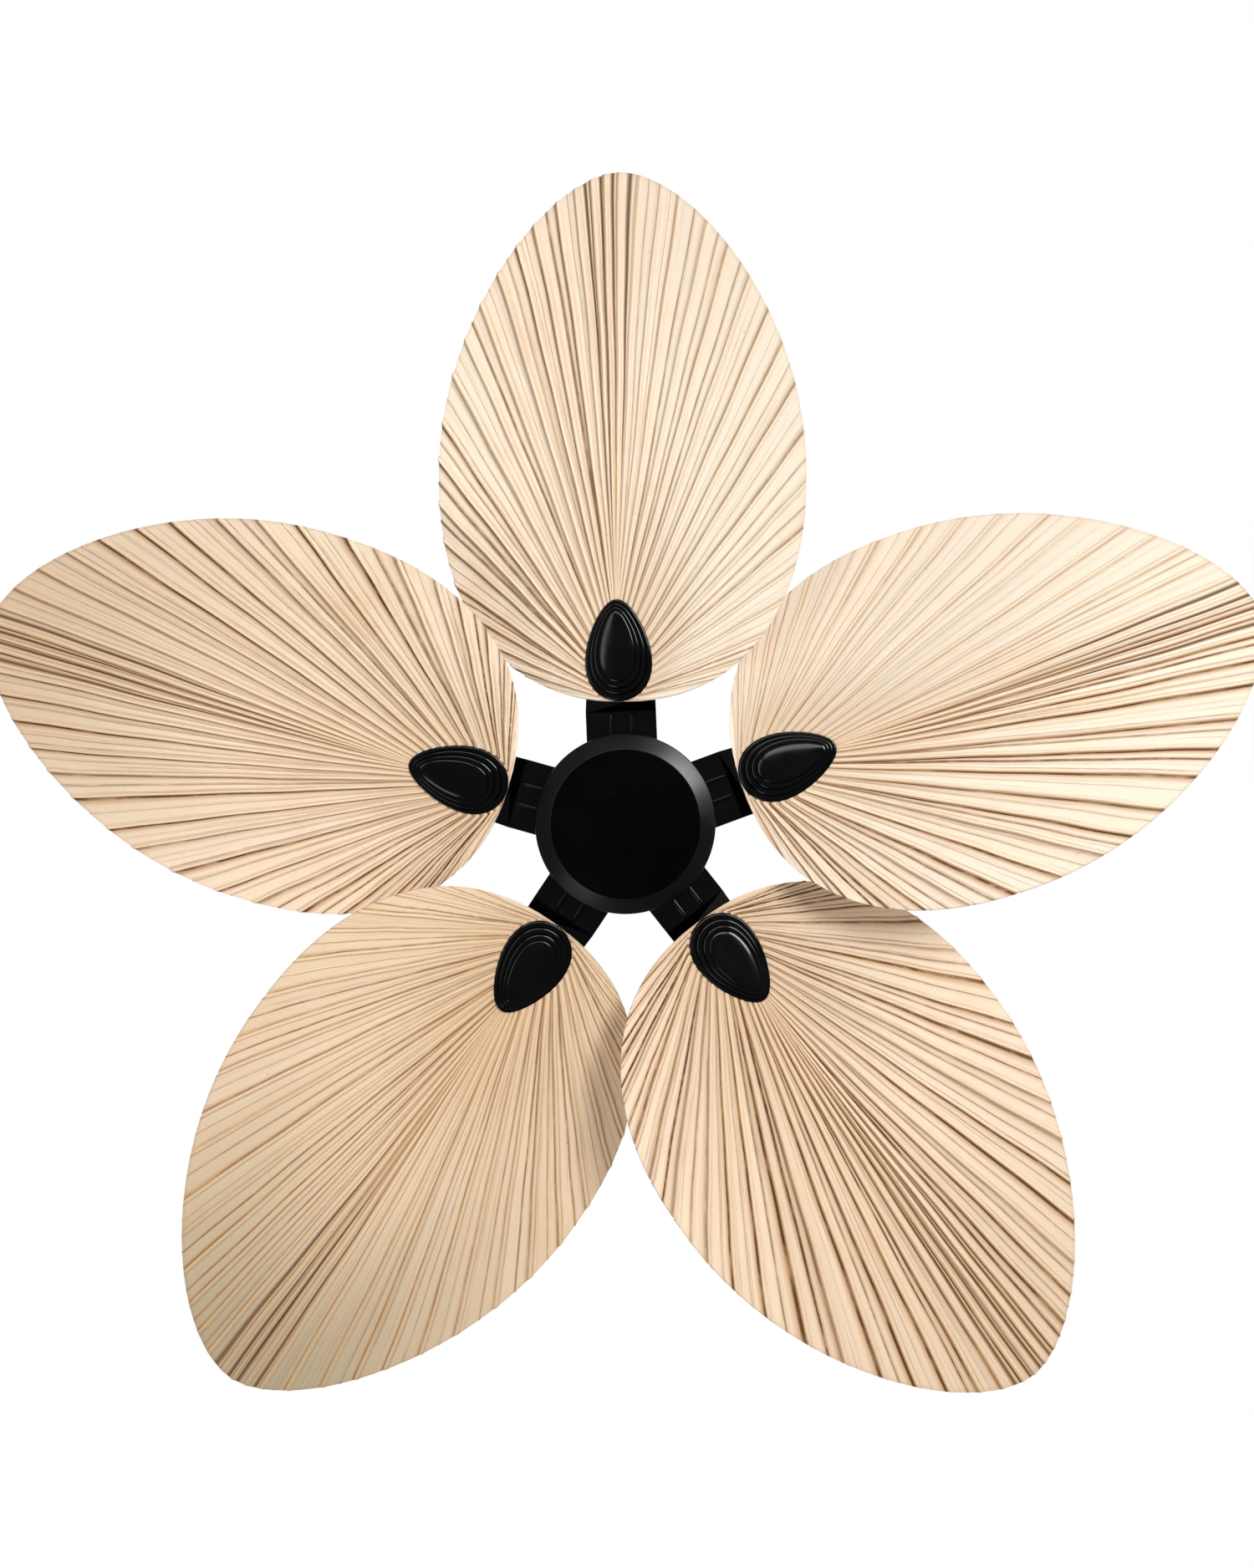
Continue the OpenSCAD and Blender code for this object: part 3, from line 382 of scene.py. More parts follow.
        # the foot of each ridge away from the key lamp carries a line of painted shade
        off_shaded_foot = g.math("SUBTRACT", g.math("FRACT", g.x), self.shaded_foot)
        off_foot = g.math("SUBTRACT", g.fold, self.foot)
        from_shaded_foot, from_foot = (g.math("DIVIDE", g.math("ABSOLUTE", off), wide)
                               for off in (off_shaded_foot, off_foot))
        from_crease = g.math("DIVIDE", g.math("SUBTRACT", 0.5, g.fold), wide)

        dark = g.fit(g.panel, 0.05, 0.45, 0.4, 1.0)
        at_shaded_foot = g.times(g.fit(from_shaded_foot, 1.0, 0.35), dark)
        at_foot = g.times(g.fit(from_foot, 0.7, 0.15), g.fit(g.panel_b, 0.3, 0.9, 0.1, 0.5))
        at_crease = g.times(g.fit(from_crease, 0.8, 0.1), g.fit(g.crease, 0.3, 0.9, 0.12, 1.0))
        broken = g.fit(g.strands(2.0, 9.0, 3, 0.6), 0.3, 0.58, 0.35, 1.0)
        hair = g.strands(13.0, 1.0, 2, 0.5)
        hair = g.times(g.fit(hair, 0.61, 0.65), g.fit(hair, 0.71, 0.66, 0.0, 0.3))

        strength = g.fit(g.from_mid, -0.6, 0.6, *self.strength)
        lines = g.times(g.larger(g.larger(at_foot, at_shaded_foot), at_crease), broken)
        lines = g.times(g.larger(lines, hair), strength)
        lines = g.larger(lines, g.fit(g.y, 0.985, 1.0, 0.0, 0.15))
        # painted shade: a brown band beside the lines at the feet away from the key lamp and round the
        # creases
        shade_halo = g.times(g.fit(from_shaded_foot, 2.4, 0.8, 0.0, 0.62), dark)
        crease_shade = g.times(g.fit(from_crease, 1.8, 0.5), g.fit(g.crease, 0.4, 0.9, 0.05, 0.5))
        return lines, g.times(g.larger(shade_halo, crease_shade), strength)


@dataclass(frozen=True)
class CoatFinish:
    """Satin powder coat or moulded black plastic, with a fine orange peel and faint dust."""

    name: str
    colour: Triple
    gloss: float
    roughness: float
    grain: float = 900.0
    relief: float = 0.00004
    dust: float = 3.0

    def build(self) -> Material:
        """Make the material.

        Returns:
            The coat's material.
        """
        g = Surface(self.name)
        peel = g.noise(g.where, self.grain, 2, 0.5)
        cloud = g.noise(g.where, 14.0, 4, 0.6)
        dusty = tuple(c + self.dust for c in self.colour)
        base = g.cover(self.colour, (g.fit(cloud, 0.45, 0.8, 0.0, 0.6), dusty))
        rough = g.fit(cloud, 0.3, 0.7, self.roughness - 0.05, self.roughness + 0.06)
        g.set(Base_Color=base, Roughness=g.math("ADD", rough, g.times(peel, 0.04)),
              Specular_IOR_Level=self.gloss)
        g.bump(peel, self.relief, 0.35)
        return g.material


@dataclass(frozen=True)
class MetalFinish:
    """Bare or plated metal with its grain: brushed, cast, stacked or polished."""

    name: str
    colour: Triple
    roughness: float
    stretch: Triple
    scale: float
    relief: float
    stain: Triple = (120, 116, 106)

    def build(self) -> Material:
        """Make the material.

        Returns:
            The metal's material.
        """
        g = Surface(self.name)
        drawn = g.vector(*(g.times(c, s) for c, s in zip(g.split(g.where), self.stretch)))
        grain = g.noise(drawn, self.scale, 3, 0.6)
        cloud = g.noise(g.where, 40.0, 3, 0.6)
        base = g.cover(self.colour, (g.fit(cloud, 0.5, 0.8, 0.0, 0.35), self.stain),
                       (g.fit(grain, 0.35, 0.65, 0.0, 0.22), self.stain))
        g.set(Base_Color=base, Metallic=1.0,
              Roughness=g.fit(grain, 0.3, 0.7, self.roughness - 0.06, self.roughness + 0.08))
        g.bump(grain, self.relief, 0.4)
        return g.material


@dataclass(frozen=True)
class PlasticFinish:
    """Moulded plastic, wire insulation or enamel with a fine moulded grain."""

    name: str
    colour: Triple
    roughness: float
    scale: float = 600.0
    relief: float = 0.00003
    shade: float = 0.78

    def build(self) -> Material:
        """Make the material.

        Returns:
            The plastic's material.
        """
        g = Surface(self.name)
        grain = g.noise(g.where, self.scale, 2, 0.5)
        cloud = g.noise(g.where, 30.0, 3, 0.6)
        darker = tuple(c * self.shade for c in self.colour)
        base = g.cover(self.colour, (g.fit(cloud, 0.4, 0.75, 0.0, 0.6), darker))
        g.set(Base_Color=base, Specular_IOR_Level=0.45,
              Roughness=g.fit(grain, 0.3, 0.7, self.roughness - 0.05, self.roughness + 0.05))
        g.bump(grain, self.relief, 0.3)
        return g.material


class Piece:
    """A finished mesh, placed in the frame with its object at the origin."""

    def __init__(self, name: str, mesh: Mesh, material: Material) -> None:
        """Turn a bmesh into an object of the scene.

        Args:
            name: the piece's name.
            mesh: its shape, which is freed here.
            material: its finish.
        """
        data = bpy.data.meshes.new(name)
        for face in mesh.faces:
            face.material_index = 0
        mesh.to_mesh(data)
        mesh.free()
        data.materials.append(material)
        self.object = bpy.data.objects.new(name, data)
        bpy.context.scene.collection.objects.link(self.object)

    def settle(self, body: Body, slot: Slot, *nodes: str) -> None:
        """Let the piece ride on a body in place of the frame's own nodes.

        Args:
            body: the body that it moves with.
            slot: not used.
            nodes: the nodes of the frame that it stands for.
        """
        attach(self.object, body.value)
        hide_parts(*nodes)
        log.info("%s: %d faces, on %s", self.object.name, len(self.object.data.polygons), body.value)

    def modify(self, kind: str, **settings: object) -> "Piece":
        """Work a modifier into the mesh.

        Args:
            kind: the modifier's type.
            settings: the modifier's own settings.

        Returns:
            The piece itself.
        """
        modifier = self.object.modifiers.new(kind.lower(), kind)
        for name, value in settings.items():
            setattr(modifier, name, value)
        graph = bpy.context.evaluated_depsgraph_get()
        done = bpy.data.meshes.new_from_object(self.object.evaluated_get(graph))
        self.object.modifiers.clear()
        old = self.object.data
        self.object.data = done
        bpy.data.meshes.remove(old)
        return self

    def shade(self, angle: float) -> "Piece":
        """Shade the mesh smoothly, with its edges sharp above an angle.

        Args:
            angle: the least angle of a sharp edge, in degrees.

        Returns:
            The piece itself.
        """
        mesh = bmesh.new()
        mesh.from_mesh(self.object.data)
        for face in mesh.faces:
            face.smooth = True
        for edge in mesh.edges:
            edge.smooth = edge.calc_face_angle(0.0) < math.radians(angle)
        mesh.to_mesh(self.object.data)
        mesh.free()
        return self


@dataclass(frozen=True)
class BladePlane:
    """The plane of a blade: u outwards along its iron, v across it, w up through the leaf."""

    first: float = 87.7
    pitch: float = 13.0
    height: float = -0.2908

    def around(self, k: int) -> Matrix:
        """Give the turn round the axis to a blade, counted from 0."""
        return Matrix.Rotation(math.radians(self.first + k * 360 / BLADES), 4, "Z")

    def matrix(self, k: int) -> Matrix:
        """Give the way from the own plane of a blade, counted from 0, to the frame."""
        tilt = Matrix.Rotation(math.radians(-self.pitch), 4, "X")
        return self.around(k) @ Matrix.Translation((0, 0, self.height)) @ tilt


@dataclass(frozen=True)
class CapOutline:
    """Egg-shaped outline of the cap, which is also where the folds of the leaf start."""

    centre: float = 0.177
    length: float = 0.104
    width: float = 0.070
    taper: float = 0.28
    shift: float = 0.25

    def at(self, angle: Array, inset: Array) -> Pair:
        """Give points of the outline or of one drawn inside it.

        Args:
            angle: the place round the outline, in degrees from its narrow end.
            inset: how far inside the outline the points lie, in metres.

        Returns:
            The points' u and v.
        """
        peak = (1 - math.sqrt(1 + 8 * self.taper ** 2)) / (4 * self.taper)
        norm = math.sqrt(1 - peak ** 2) * (1 - self.taper * peak)
        c, s = np.cos(np.radians(angle)), np.sin(np.radians(angle))
        half = np.abs(s) * (1 - self.taper * c) / norm
        u = self.centre + self.shift * inset + (self.length / 2 - inset) * c
        return u, (self.width / 2 - inset) * np.sign(np.round(s, 9)) * half


@dataclass(frozen=True)
class LeafSizes:
    """Sizes of a pressed and pleated palm leaf, and the ranges in which its folds vary."""

    base: float = 0.125
    length: float = 0.556
    width: float = 0.396
    widest: float = 0.43
    fullness: float = 1.786
    shoulder_u: float = 0.87
    shoulder_v: float = 0.88
    skew: float = 1.9
    droop: float = 0.010
    camber: float = 0.005
    swell: float = 0.0015
    thick: float = 0.0016
    pleats: int = 18
    spread: float = 1.25
    fan_end: float = 155.0
    bunch_share: float = 0.6
    bunch_angle: float = 34.0
    rear_in: float = 0.0015
    depth: Curve = ((0, 0.35, 0.7, 1), (0.0011, 0.0037, 0.004, 0.0028))
    rib_depth: Curve = ((0, 0.3, 0.7, 1), (0.0016, 0.007, 0.007, 0.0035))
    sway: Span = (0.0008, 0.0012)
    least_gap: float = 0.0001
    minor_flank: float = 0.0011
    most_flank: float = 0.36
    most_minor: float = 0.08
    least_flat: float = 0.03
    softness: float = 0.003
    stray: float = 0.12
    lean: Span = (0.6, 1.4)
    uneven: Span = (0.75, 1.2)
    crease: Span = (0.42, 0.58)
    level: Span = (-0.1, 0.1)
    minor: Triple = (0.08, 0.6, 1.6)


@dataclass(frozen=True)
class Leaf:
    """One palm leaf with straight narrow ridges between flat panels, fanned out from the cap.

    growth is its size next to the average leaf's, and rib_turn the turn of its midrib off the
    middle of the tip, in degrees of the outline. relief is the depth of its folds next to the
    average and flank the width of a ridge's sloping side, each for the lower and upper half.
    """

    k: int
    growth: float
    rib_turn: float
    relief: Span
    flank: Span
    seed: int
    sizes: LeafSizes = LeafSizes()
    outline: CapOutline = CapOutline()

    HALF = ((0.0, 1.0, 0.0), (0.07, 0.9, 0.0), (0.14, 0.5, 0.0), (0.2, 0.1, 0.0), (0.3, 0.05, 0.0),
            (0.4, 0.02, 0.0), (0.45, 0.0, 0.0), (0.475, 0.0, 0.6), (0.5, 0.0, 1.0))
    KNOTS = (0.0, 0.2, 0.45, 0.5, 0.55, 0.8, 1.0)
    GROOVES = (-0.5, -0.85, -0.85, -0.5)
    REAR = (*range(158, 177, 3), 180, *range(-176, -157, 3))
    WAVES = ((0.5, 5.0, 0.25), (0.3, 11.0, 0.55), (0.2, 23.0, 1.3))
    ROWS = 42
    CROWDING = 1.15
    INNER = (0.008, 0.003)

    def rows(self) -> Array:
        """Give each row's share of the way to the margin, closer together at the cap."""
        return (np.arange(self.ROWS + 1) / self.ROWS) ** self.CROWDING

    def margin(self, angle: Array) -> Pair:
        """Give points of the leaf's outer edge.

        Args:
            angle: place round the edge, in degrees: 0 the tip, 90 the widest line, 180 the base.

        Returns:
            The points' u and v.
        """
        z = self.sizes
        b = np.abs(angle)
        rad = np.radians(b)
        s = np.sin(rad)
        fore = z.widest + (1 - z.widest) * np.arccos(np.clip(s, 0, 1) ** z.fullness) / (math.pi / 2)
        aft_s = np.clip(-np.cos(rad), 0, 1)
        aft = z.widest * (1 - aft_s ** z.shoulder_u)
        u = z.base + self.growth * z.length * np.where(b < 90, fore, aft)
        half = np.where(b < 90, s, np.clip(s, 0, 1) ** z.shoulder_v)
        v = np.sign(angle) * self.growth * z.width / 2 * half
        skew = math.radians(z.skew)
        return u * math.cos(skew) - v * math.sin(skew), u * math.sin(skew) + v * math.cos(skew)

    def bunched(self, angle: Array) -> Array:
        """Crowd places round the outer edge towards the narrow end of the cap."""
        z = self.sizes
        return angle * (1 - z.bunch_share * np.exp(-(angle / z.bunch_angle) ** 2))

    def root(self, angle: Array) -> Pair:
        """Give the points on the cap's outline where folds start.

        Args:
            angle: the folds' places round the outer edge, in degrees.

        Returns:
            The points' u and v.
        """
        z = self.sizes
        start = self.bunched(angle)
        u, v = self.outline.at(start, np.full_like(start, -z.thick))
        return np.where(np.abs(angle) > z.fan_end, z.base + z.rear_in, u), v

    def fold_angle(self, q: Array) -> Array:
        """Turn a pleat count from the midrib into a place round the outer edge, in degrees."""
        t = q / self.sizes.pleats
        span = self.sizes.fan_end * np.sign(t) * np.abs(t) ** self.sizes.spread
        return self.rib_turn * (1 - np.abs(t)) + span

    def flat(self, angle: Array, s: Array) -> Pair:
        """Place points at a share s of the straight lines from the cap to the margin."""
        (ru, rv), (mu, mv) = self.root(angle), self.margin(angle)
        return ru * (1 - s) + mu * s, rv * (1 - s) + mv * s

    def waves(self, dice: random.Random, count: int) -> Array:
        """Make slow sideways waves that neighbouring folds share.

        Args:
            dice: the leaf's random numbers.
            count: how many folds there are.

        Returns:
            A wave from -1 to 1 for each row and fold.
        """
        rows = self.rows()
        total = np.zeros((len(rows), count))
        fold = np.arange(count)
        for strength, along, across in self.WAVES:
            phase = dice.uniform(0, 6.283)
            drift = np.array([dice.uniform(-0.7, 0.7) for _ in range(count)])
            total += strength * np.sin(along * rows[:, None] + across * fold[None, :] + phase + drift)
        total[:, 0] = total[:, -1] = 0.0
        return total

    def surface(self) -> Pair:
        """Work out the leaf's middle surface row by row.

        Returns:
            The points u, v, w of each row and column, and the pleat count of each column.
        """
        z, n, rows = self.sizes, self.sizes.pleats, self.rows()
        dice = random.Random(self.seed)
        ridge = np.arange(-n, n + 1, dtype=float)
        jitter = np.array([0.0 if abs(i) in (0, n) else dice.uniform(-z.stray, z.stray) for i in ridge])
        lean = np.array([dice.uniform(*z.lean) for _ in ridge])
        relief = np.array([dice.uniform(*z.uneven) * self.relief[int(i > 0)] for i in ridge])
        relief[0] = relief[-1] = 0.0
        crease = np.array([dice.uniform(*z.crease) for _ in ridge[1:]])
        least, more, power = z.minor
        minor = np.array([least + more * dice.random() ** power for _ in ridge[1:]])
        minor[n - 2:n + 2] = self.GROOVES
        level = np.array([[dice.uniform(*z.level) for _ in ridge[1:]] for _ in range(2)])
        wave = self.waves(dice, 2 * n + 1)

        even = ridge[None, :] + jitter[None, :] + 0.0 * rows[:, None]
        u, v = self.flat(self.fold_angle(even), rows[:, None])
        gap = np.hypot(np.diff(u, axis=1), np.diff(v, axis=1))
        near = np.pad((gap[:, 1:] + gap[:, :-1]) / 2, ((0, 0), (1, 1)), mode="edge")
        shift = z.sway[0] + z.sway[1] * rows[:, None]
        place = even + wave * np.minimum(z.stray, shift / np.maximum(near, z.least_gap))
        depth = np.minimum(np.interp(rows, *z.depth)[:, None], 0.6 * near) * relief[None, :]
        depth[:, n] = np.interp(rows, *z.rib_depth)

        second = [(1 - f, major, small) for f, major, small in self.HALF[-2:0:-1]]
        columns = []
        for p in range(2 * n):
            flank = self.flank[int(p >= n)]
            left = np.minimum(z.most_flank, flank * lean[p] / gap[:, p])
            right = np.minimum(z.most_flank, flank * (2 - lean[p + 1]) / gap[:, p])
            fold = np.minimum(z.most_minor, z.minor_flank / gap[:, p])
            mid = np.clip(np.full_like(left, crease[p]), left + fold + z.least_flat,
                          1 - right - fold - z.least_flat)
            places = (0 * left, left, mid - fold, mid, mid + fold, 1 - right, 0 * left + 1)
            minor_depth = minor[p] * (depth[:, p] + depth[:, p + 1]) / 2
            for f, major, small in [*self.HALF, *second]:
                q = place[:, p] + self.stretch(f, places) * (place[:, p + 1] - place[:, p])
                side = int(f >= 0.5)
                soft = z.softness * rows ** 0.5 * level[side, p] * min(1.0, (1 - major) * 1.1)
                soft = soft * (1 - small)
                columns.append((f + p, q, -depth[:, p + side] * major - minor_depth * small - soft))
        columns.append((2.0 * n, place[:, -1], np.zeros_like(rows)))
        angle = self.fold_angle(np.stack([c[1] for c in columns], axis=1))
        w = np.stack([c[2] for c in columns], axis=1)
        rear = np.array(self.REAR, dtype=float)
        angle = np.concatenate([angle, np.tile(rear, (len(rows), 1))], axis=1)
        w = np.concatenate([w, np.zeros((len(rows), len(rear)))], axis=1)
        last = 2 * n + 0.25 + 0.5 * np.arange(len(rear)) / len(rear)
        return self.bent(angle, w), np.concatenate([[c[0] for c in columns], last])

    def stretch(self, f: float, places: tuple[Array, ...]) -> Array:
        """Turn a column's even place in its pleat into its real one.

        Args:
            f: the even place.
            places: the real place, row by row, of each knot of the even ones.

        Returns:
            The real place in the pleat, from 0 to 1.
        """
        i = max(n for n, knot in enumerate(self.KNOTS[:-1]) if knot <= f)
        part = (f - self.KNOTS[i]) / (self.KNOTS[i + 1] - self.KNOTS[i])
        return places[i] + (places[i + 1] - places[i]) * part

    def bent(self, angle: Array, w: Array) -> Array:
        """Bend the flat fan to its droop and camber, and add the rows under the cap.

        Args:
            angle: the place round the outer edge of each row and column.
            w: the height of each point over the clamped plane.

        Returns:
            The points u, v, w of each row and column.
        """
        z, s = self.sizes, self.rows()[:, None]
        (ru, rv), (mu, mv) = self.root(angle), self.margin(angle)
        heading = np.arctan2(mv - rv, mu - ru)
        bend = np.where(np.cos(heading) < 0, 0.0, z.droop * np.cos(heading) ** 2
                        + z.camber * np.sin(2 * heading) ** 2)
        swell = z.swell * np.sin(3.1 * heading + 1.7 * self.k) * np.sin(4.0 * s + self.k)
        points = np.stack([*self.flat(angle, s), w - bend * s * s - swell * s], axis=-1)
        start = self.bunched(angle[0])
        rings = (self.outline.at(start, np.full_like(start, inset)) for inset in self.INNER)
        inner = [np.stack([u, v, np.zeros_like(u)], axis=-1) for u, v in rings]
        return np.concatenate([np.stack(inner), points])

    def build(self) -> Mesh:
        """Fold a flat grid into the leaf.

        Returns:
            The leaf's middle surface, closed round the cap.
        """
        points, counts = self.surface()
        rows, columns = points.shape[:2]
        place = BladePlane().matrix(self.k)
        back = place.inverted()
        mesh = bmesh.new()
        uv = mesh.loops.layers.uv.new("pleats")
        bmesh.ops.create_grid(mesh, x_segments=columns, y_segments=rows - 1, size=1.0)
        mesh.verts.ensure_lookup_table()
        share = np.concatenate([np.zeros(len(self.INNER)), self.rows()])
        turns = np.append(counts, 2.0 * self.sizes.pleats + 1.0)
        for face in mesh.faces:
            for loop in face.loops:
                row, column = divmod(loop.vert.index, columns + 1)
                loop[uv].uv = (turns[column], share[row])
        for vert in mesh.verts:
            row, column = divmod(vert.index, columns + 1)
            vert.co = place @ Vector(points[row, column % columns])
        bmesh.ops.remove_doubles(mesh, verts=mesh.verts[:], dist=1e-7)
        inner = [e for e in mesh.edges
                 if e.is_boundary and self.inside(back @ ((e.verts[0].co + e.verts[1].co) / 2))]
        bmesh.ops.contextual_create(mesh, geom=inner)
        bmesh.ops.recalc_face_normals(mesh, faces=mesh.faces[:])
        return mesh

    def inside(self, point: Vector) -> bool:
        """Tell whether a point of the blade's plane lies in the opening under the cap."""
        along = (point.x - self.outline.centre) / (self.outline.length / 2)
        return along ** 2 + (point.y / (self.outline.width / 2)) ** 2 < 0.9

    def finish(self, material: Material, slot: Slot) -> None:
        """Give the leaf its thickness, finish and place on the rotor."""
        piece = Piece(f"palm_leaf_{self.k + 1}", self.build(), material)
        piece.modify("SOLIDIFY", thickness=self.sizes.thick, offset=0.0).shade(35)
        piece.settle(Body.ROTOR, slot, f"blade_leaf_{self.k + 1}")


@dataclass(frozen=True)
class BladeCap:
    """Moulded black cap over the root of a leaf: three rounded steps with fine grooves and a dome."""

    k: int
    sides: int = 96
    steps: int = 3
    step_wide: float = 0.0052
    step_rise: float = 0.00285
    step_points: int = 7
    dome_foot: float = 0.0002
    dome_rise: float = 0.004
    dome_rings: int = 14
    dome_fullness: float = 0.46
    outline: CapOutline = CapOutline()

    GROOVE = ((0.86, 1.0), (0.9, 0.86), (0.96, 0.86))

    def rings(self) -> list[Triple]:
        """List the rings of the steps and of the dome, from the rim inwards.

        Returns:
            The inset, height and share of the outline of each ring.
        """
        found = []
        for step in range(self.steps):
            for i in range(self.step_points):
                turn = math.radians(15 * i)
                found.append((step + 0.48 * (1 - math.cos(turn)), step + math.sin(turn)))
            found += [(step + a, step + b) for a, b in self.GROOVE]
        rings = [(a * self.step_wide, b * self.step_rise, 1.0) for a, b in found]
        inset, height = rings[-1][0] + self.dome_foot, self.steps * self.step_rise
        rings.append((inset, height, 1.0))
        for i in range(1, self.dome_rings + 1):
            share = math.cos(math.radians(90 * i / (self.dome_rings + 0.6)))
            rise = self.dome_rise * (1 - share ** 2) ** self.dome_fullness
            rings.append((inset, height + rise, share))
        return rings

    def build(self) -> Mesh:
        """Draw the outline and extrude it ring by ring.

        Returns:
            The closed cap.
        """
        mesh = bmesh.new()
        side = mesh.verts.layers.int.new("side")
        verts = bmesh.ops.create_circle(mesh, segments=self.sides, radius=1.0, cap_ends=False)["verts"]
        for vert in verts:
            vert[side] = round(math.atan2(vert.co.y, vert.co.x) / (2 * math.pi) * self.sides)
        edges = mesh.edges[:]
        rings = self.rings()
        place = BladePlane().matrix(self.k) @ Matrix.Translation((0, 0, -LeafSizes().thick / 2))
        centre = self.outline.centre + self.outline.shift * rings[-1][0]
        for number, (inset, height, share) in enumerate(rings):
            if number:
                made = bmesh.ops.extrude_edge_only(mesh, edges=edges)["geom"]
                verts = [g for g in made if isinstance(g, bmesh.types.BMVert)]
                edges = [g for g in made if isinstance(g, bmesh.types.BMEdge)]
            for vert in verts:
                u, v = self.outline.at(np.array(vert[side] * 360.0 / self.sides), np.array(inset))
                vert.co = place @ Vector((centre + (u - centre) * share, v * share, -height))
        bmesh.ops.contextual_create(mesh, geom=edges)
        bmesh.ops.contextual_create(mesh, geom=[e for e in mesh.edges if e.is_boundary])
        bmesh.ops.recalc_face_normals(mesh, faces=mesh.faces[:])
        return mesh

    def finish(self, material: Material) -> None:
        """Dress the cap and set it on the rotor."""
        piece = Piece(f"leaf_cap_{self.k + 1}", self.build(), material).shade(38)
        piece.settle(Body.ROTOR, Slot.CAP, f"blade_cap_{self.k + 1}")


@dataclass(frozen=True)
class BladeIron:
    """Flat black strap that carries a leaf, with two smooth stiffening beads pressed into it."""

    k: int
    bead_spacing: float = 0.021
    bead_wide: float = 0.0048
    bead_rise: float = 0.0024
    bead_length: float = 0.0262
    bead_end: float = 0.1111
    underside: float = -0.280
    rounding: float = 0.0004
    same_point: float = 2e-6

    def build(self) -> Mesh:
        """Merge the frame's strap to flat faces and lay a rounded bead over each of its two.

        Returns:
            The strap and its beads.
        """
        mesh = bmesh.new()
        mesh.from_mesh(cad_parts[f"blade_iron_{self.k + 1}"].data)
        bmesh.ops.remove_doubles(mesh, verts=mesh.verts[:], dist=self.same_point)
        bmesh.ops.dissolve_limit(mesh, angle_limit=math.radians(0.6), verts=mesh.verts[:],
                                 edges=mesh.edges[:])
        half = self.bead_length / 2 - self.bead_wide / 2
        for side in (-1, 1):
            made = bmesh.ops.create_uvsphere(mesh, u_segments=32, v_segments=18, radius=1.0)["verts"]
            bmesh.ops.scale(mesh, verts=made, vec=(self.bead_wide / 2, self.bead_wide / 2, self.bead_rise))
            for end in (1, -1):
                cap = [v for v in made if v.co.x * end > 1e-6]
                bmesh.ops.translate(mesh, verts=cap, vec=(end * half, 0, 0))
            place = Matrix.Translation((self.bead_end - self.bead_length / 2,
                                        side * self.bead_spacing / 2, self.underside))
            bmesh.ops.transform(mesh, matrix=BladePlane().around(self.k) @ place, verts=made)
        return mesh

    def finish(self, material: Material) -> None:
        """Round the strap's edges, dress it and set it on the rotor."""
        piece = Piece(f"leaf_iron_{self.k + 1}", self.build(), material)
        piece.modify("BEVEL", width=self.rounding, segments=2, limit_method="ANGLE",
                     angle_limit=math.radians(40)).shade(14)
        piece.settle(Body.ROTOR, Slot.BLACK, f"blade_iron_{self.k + 1}")


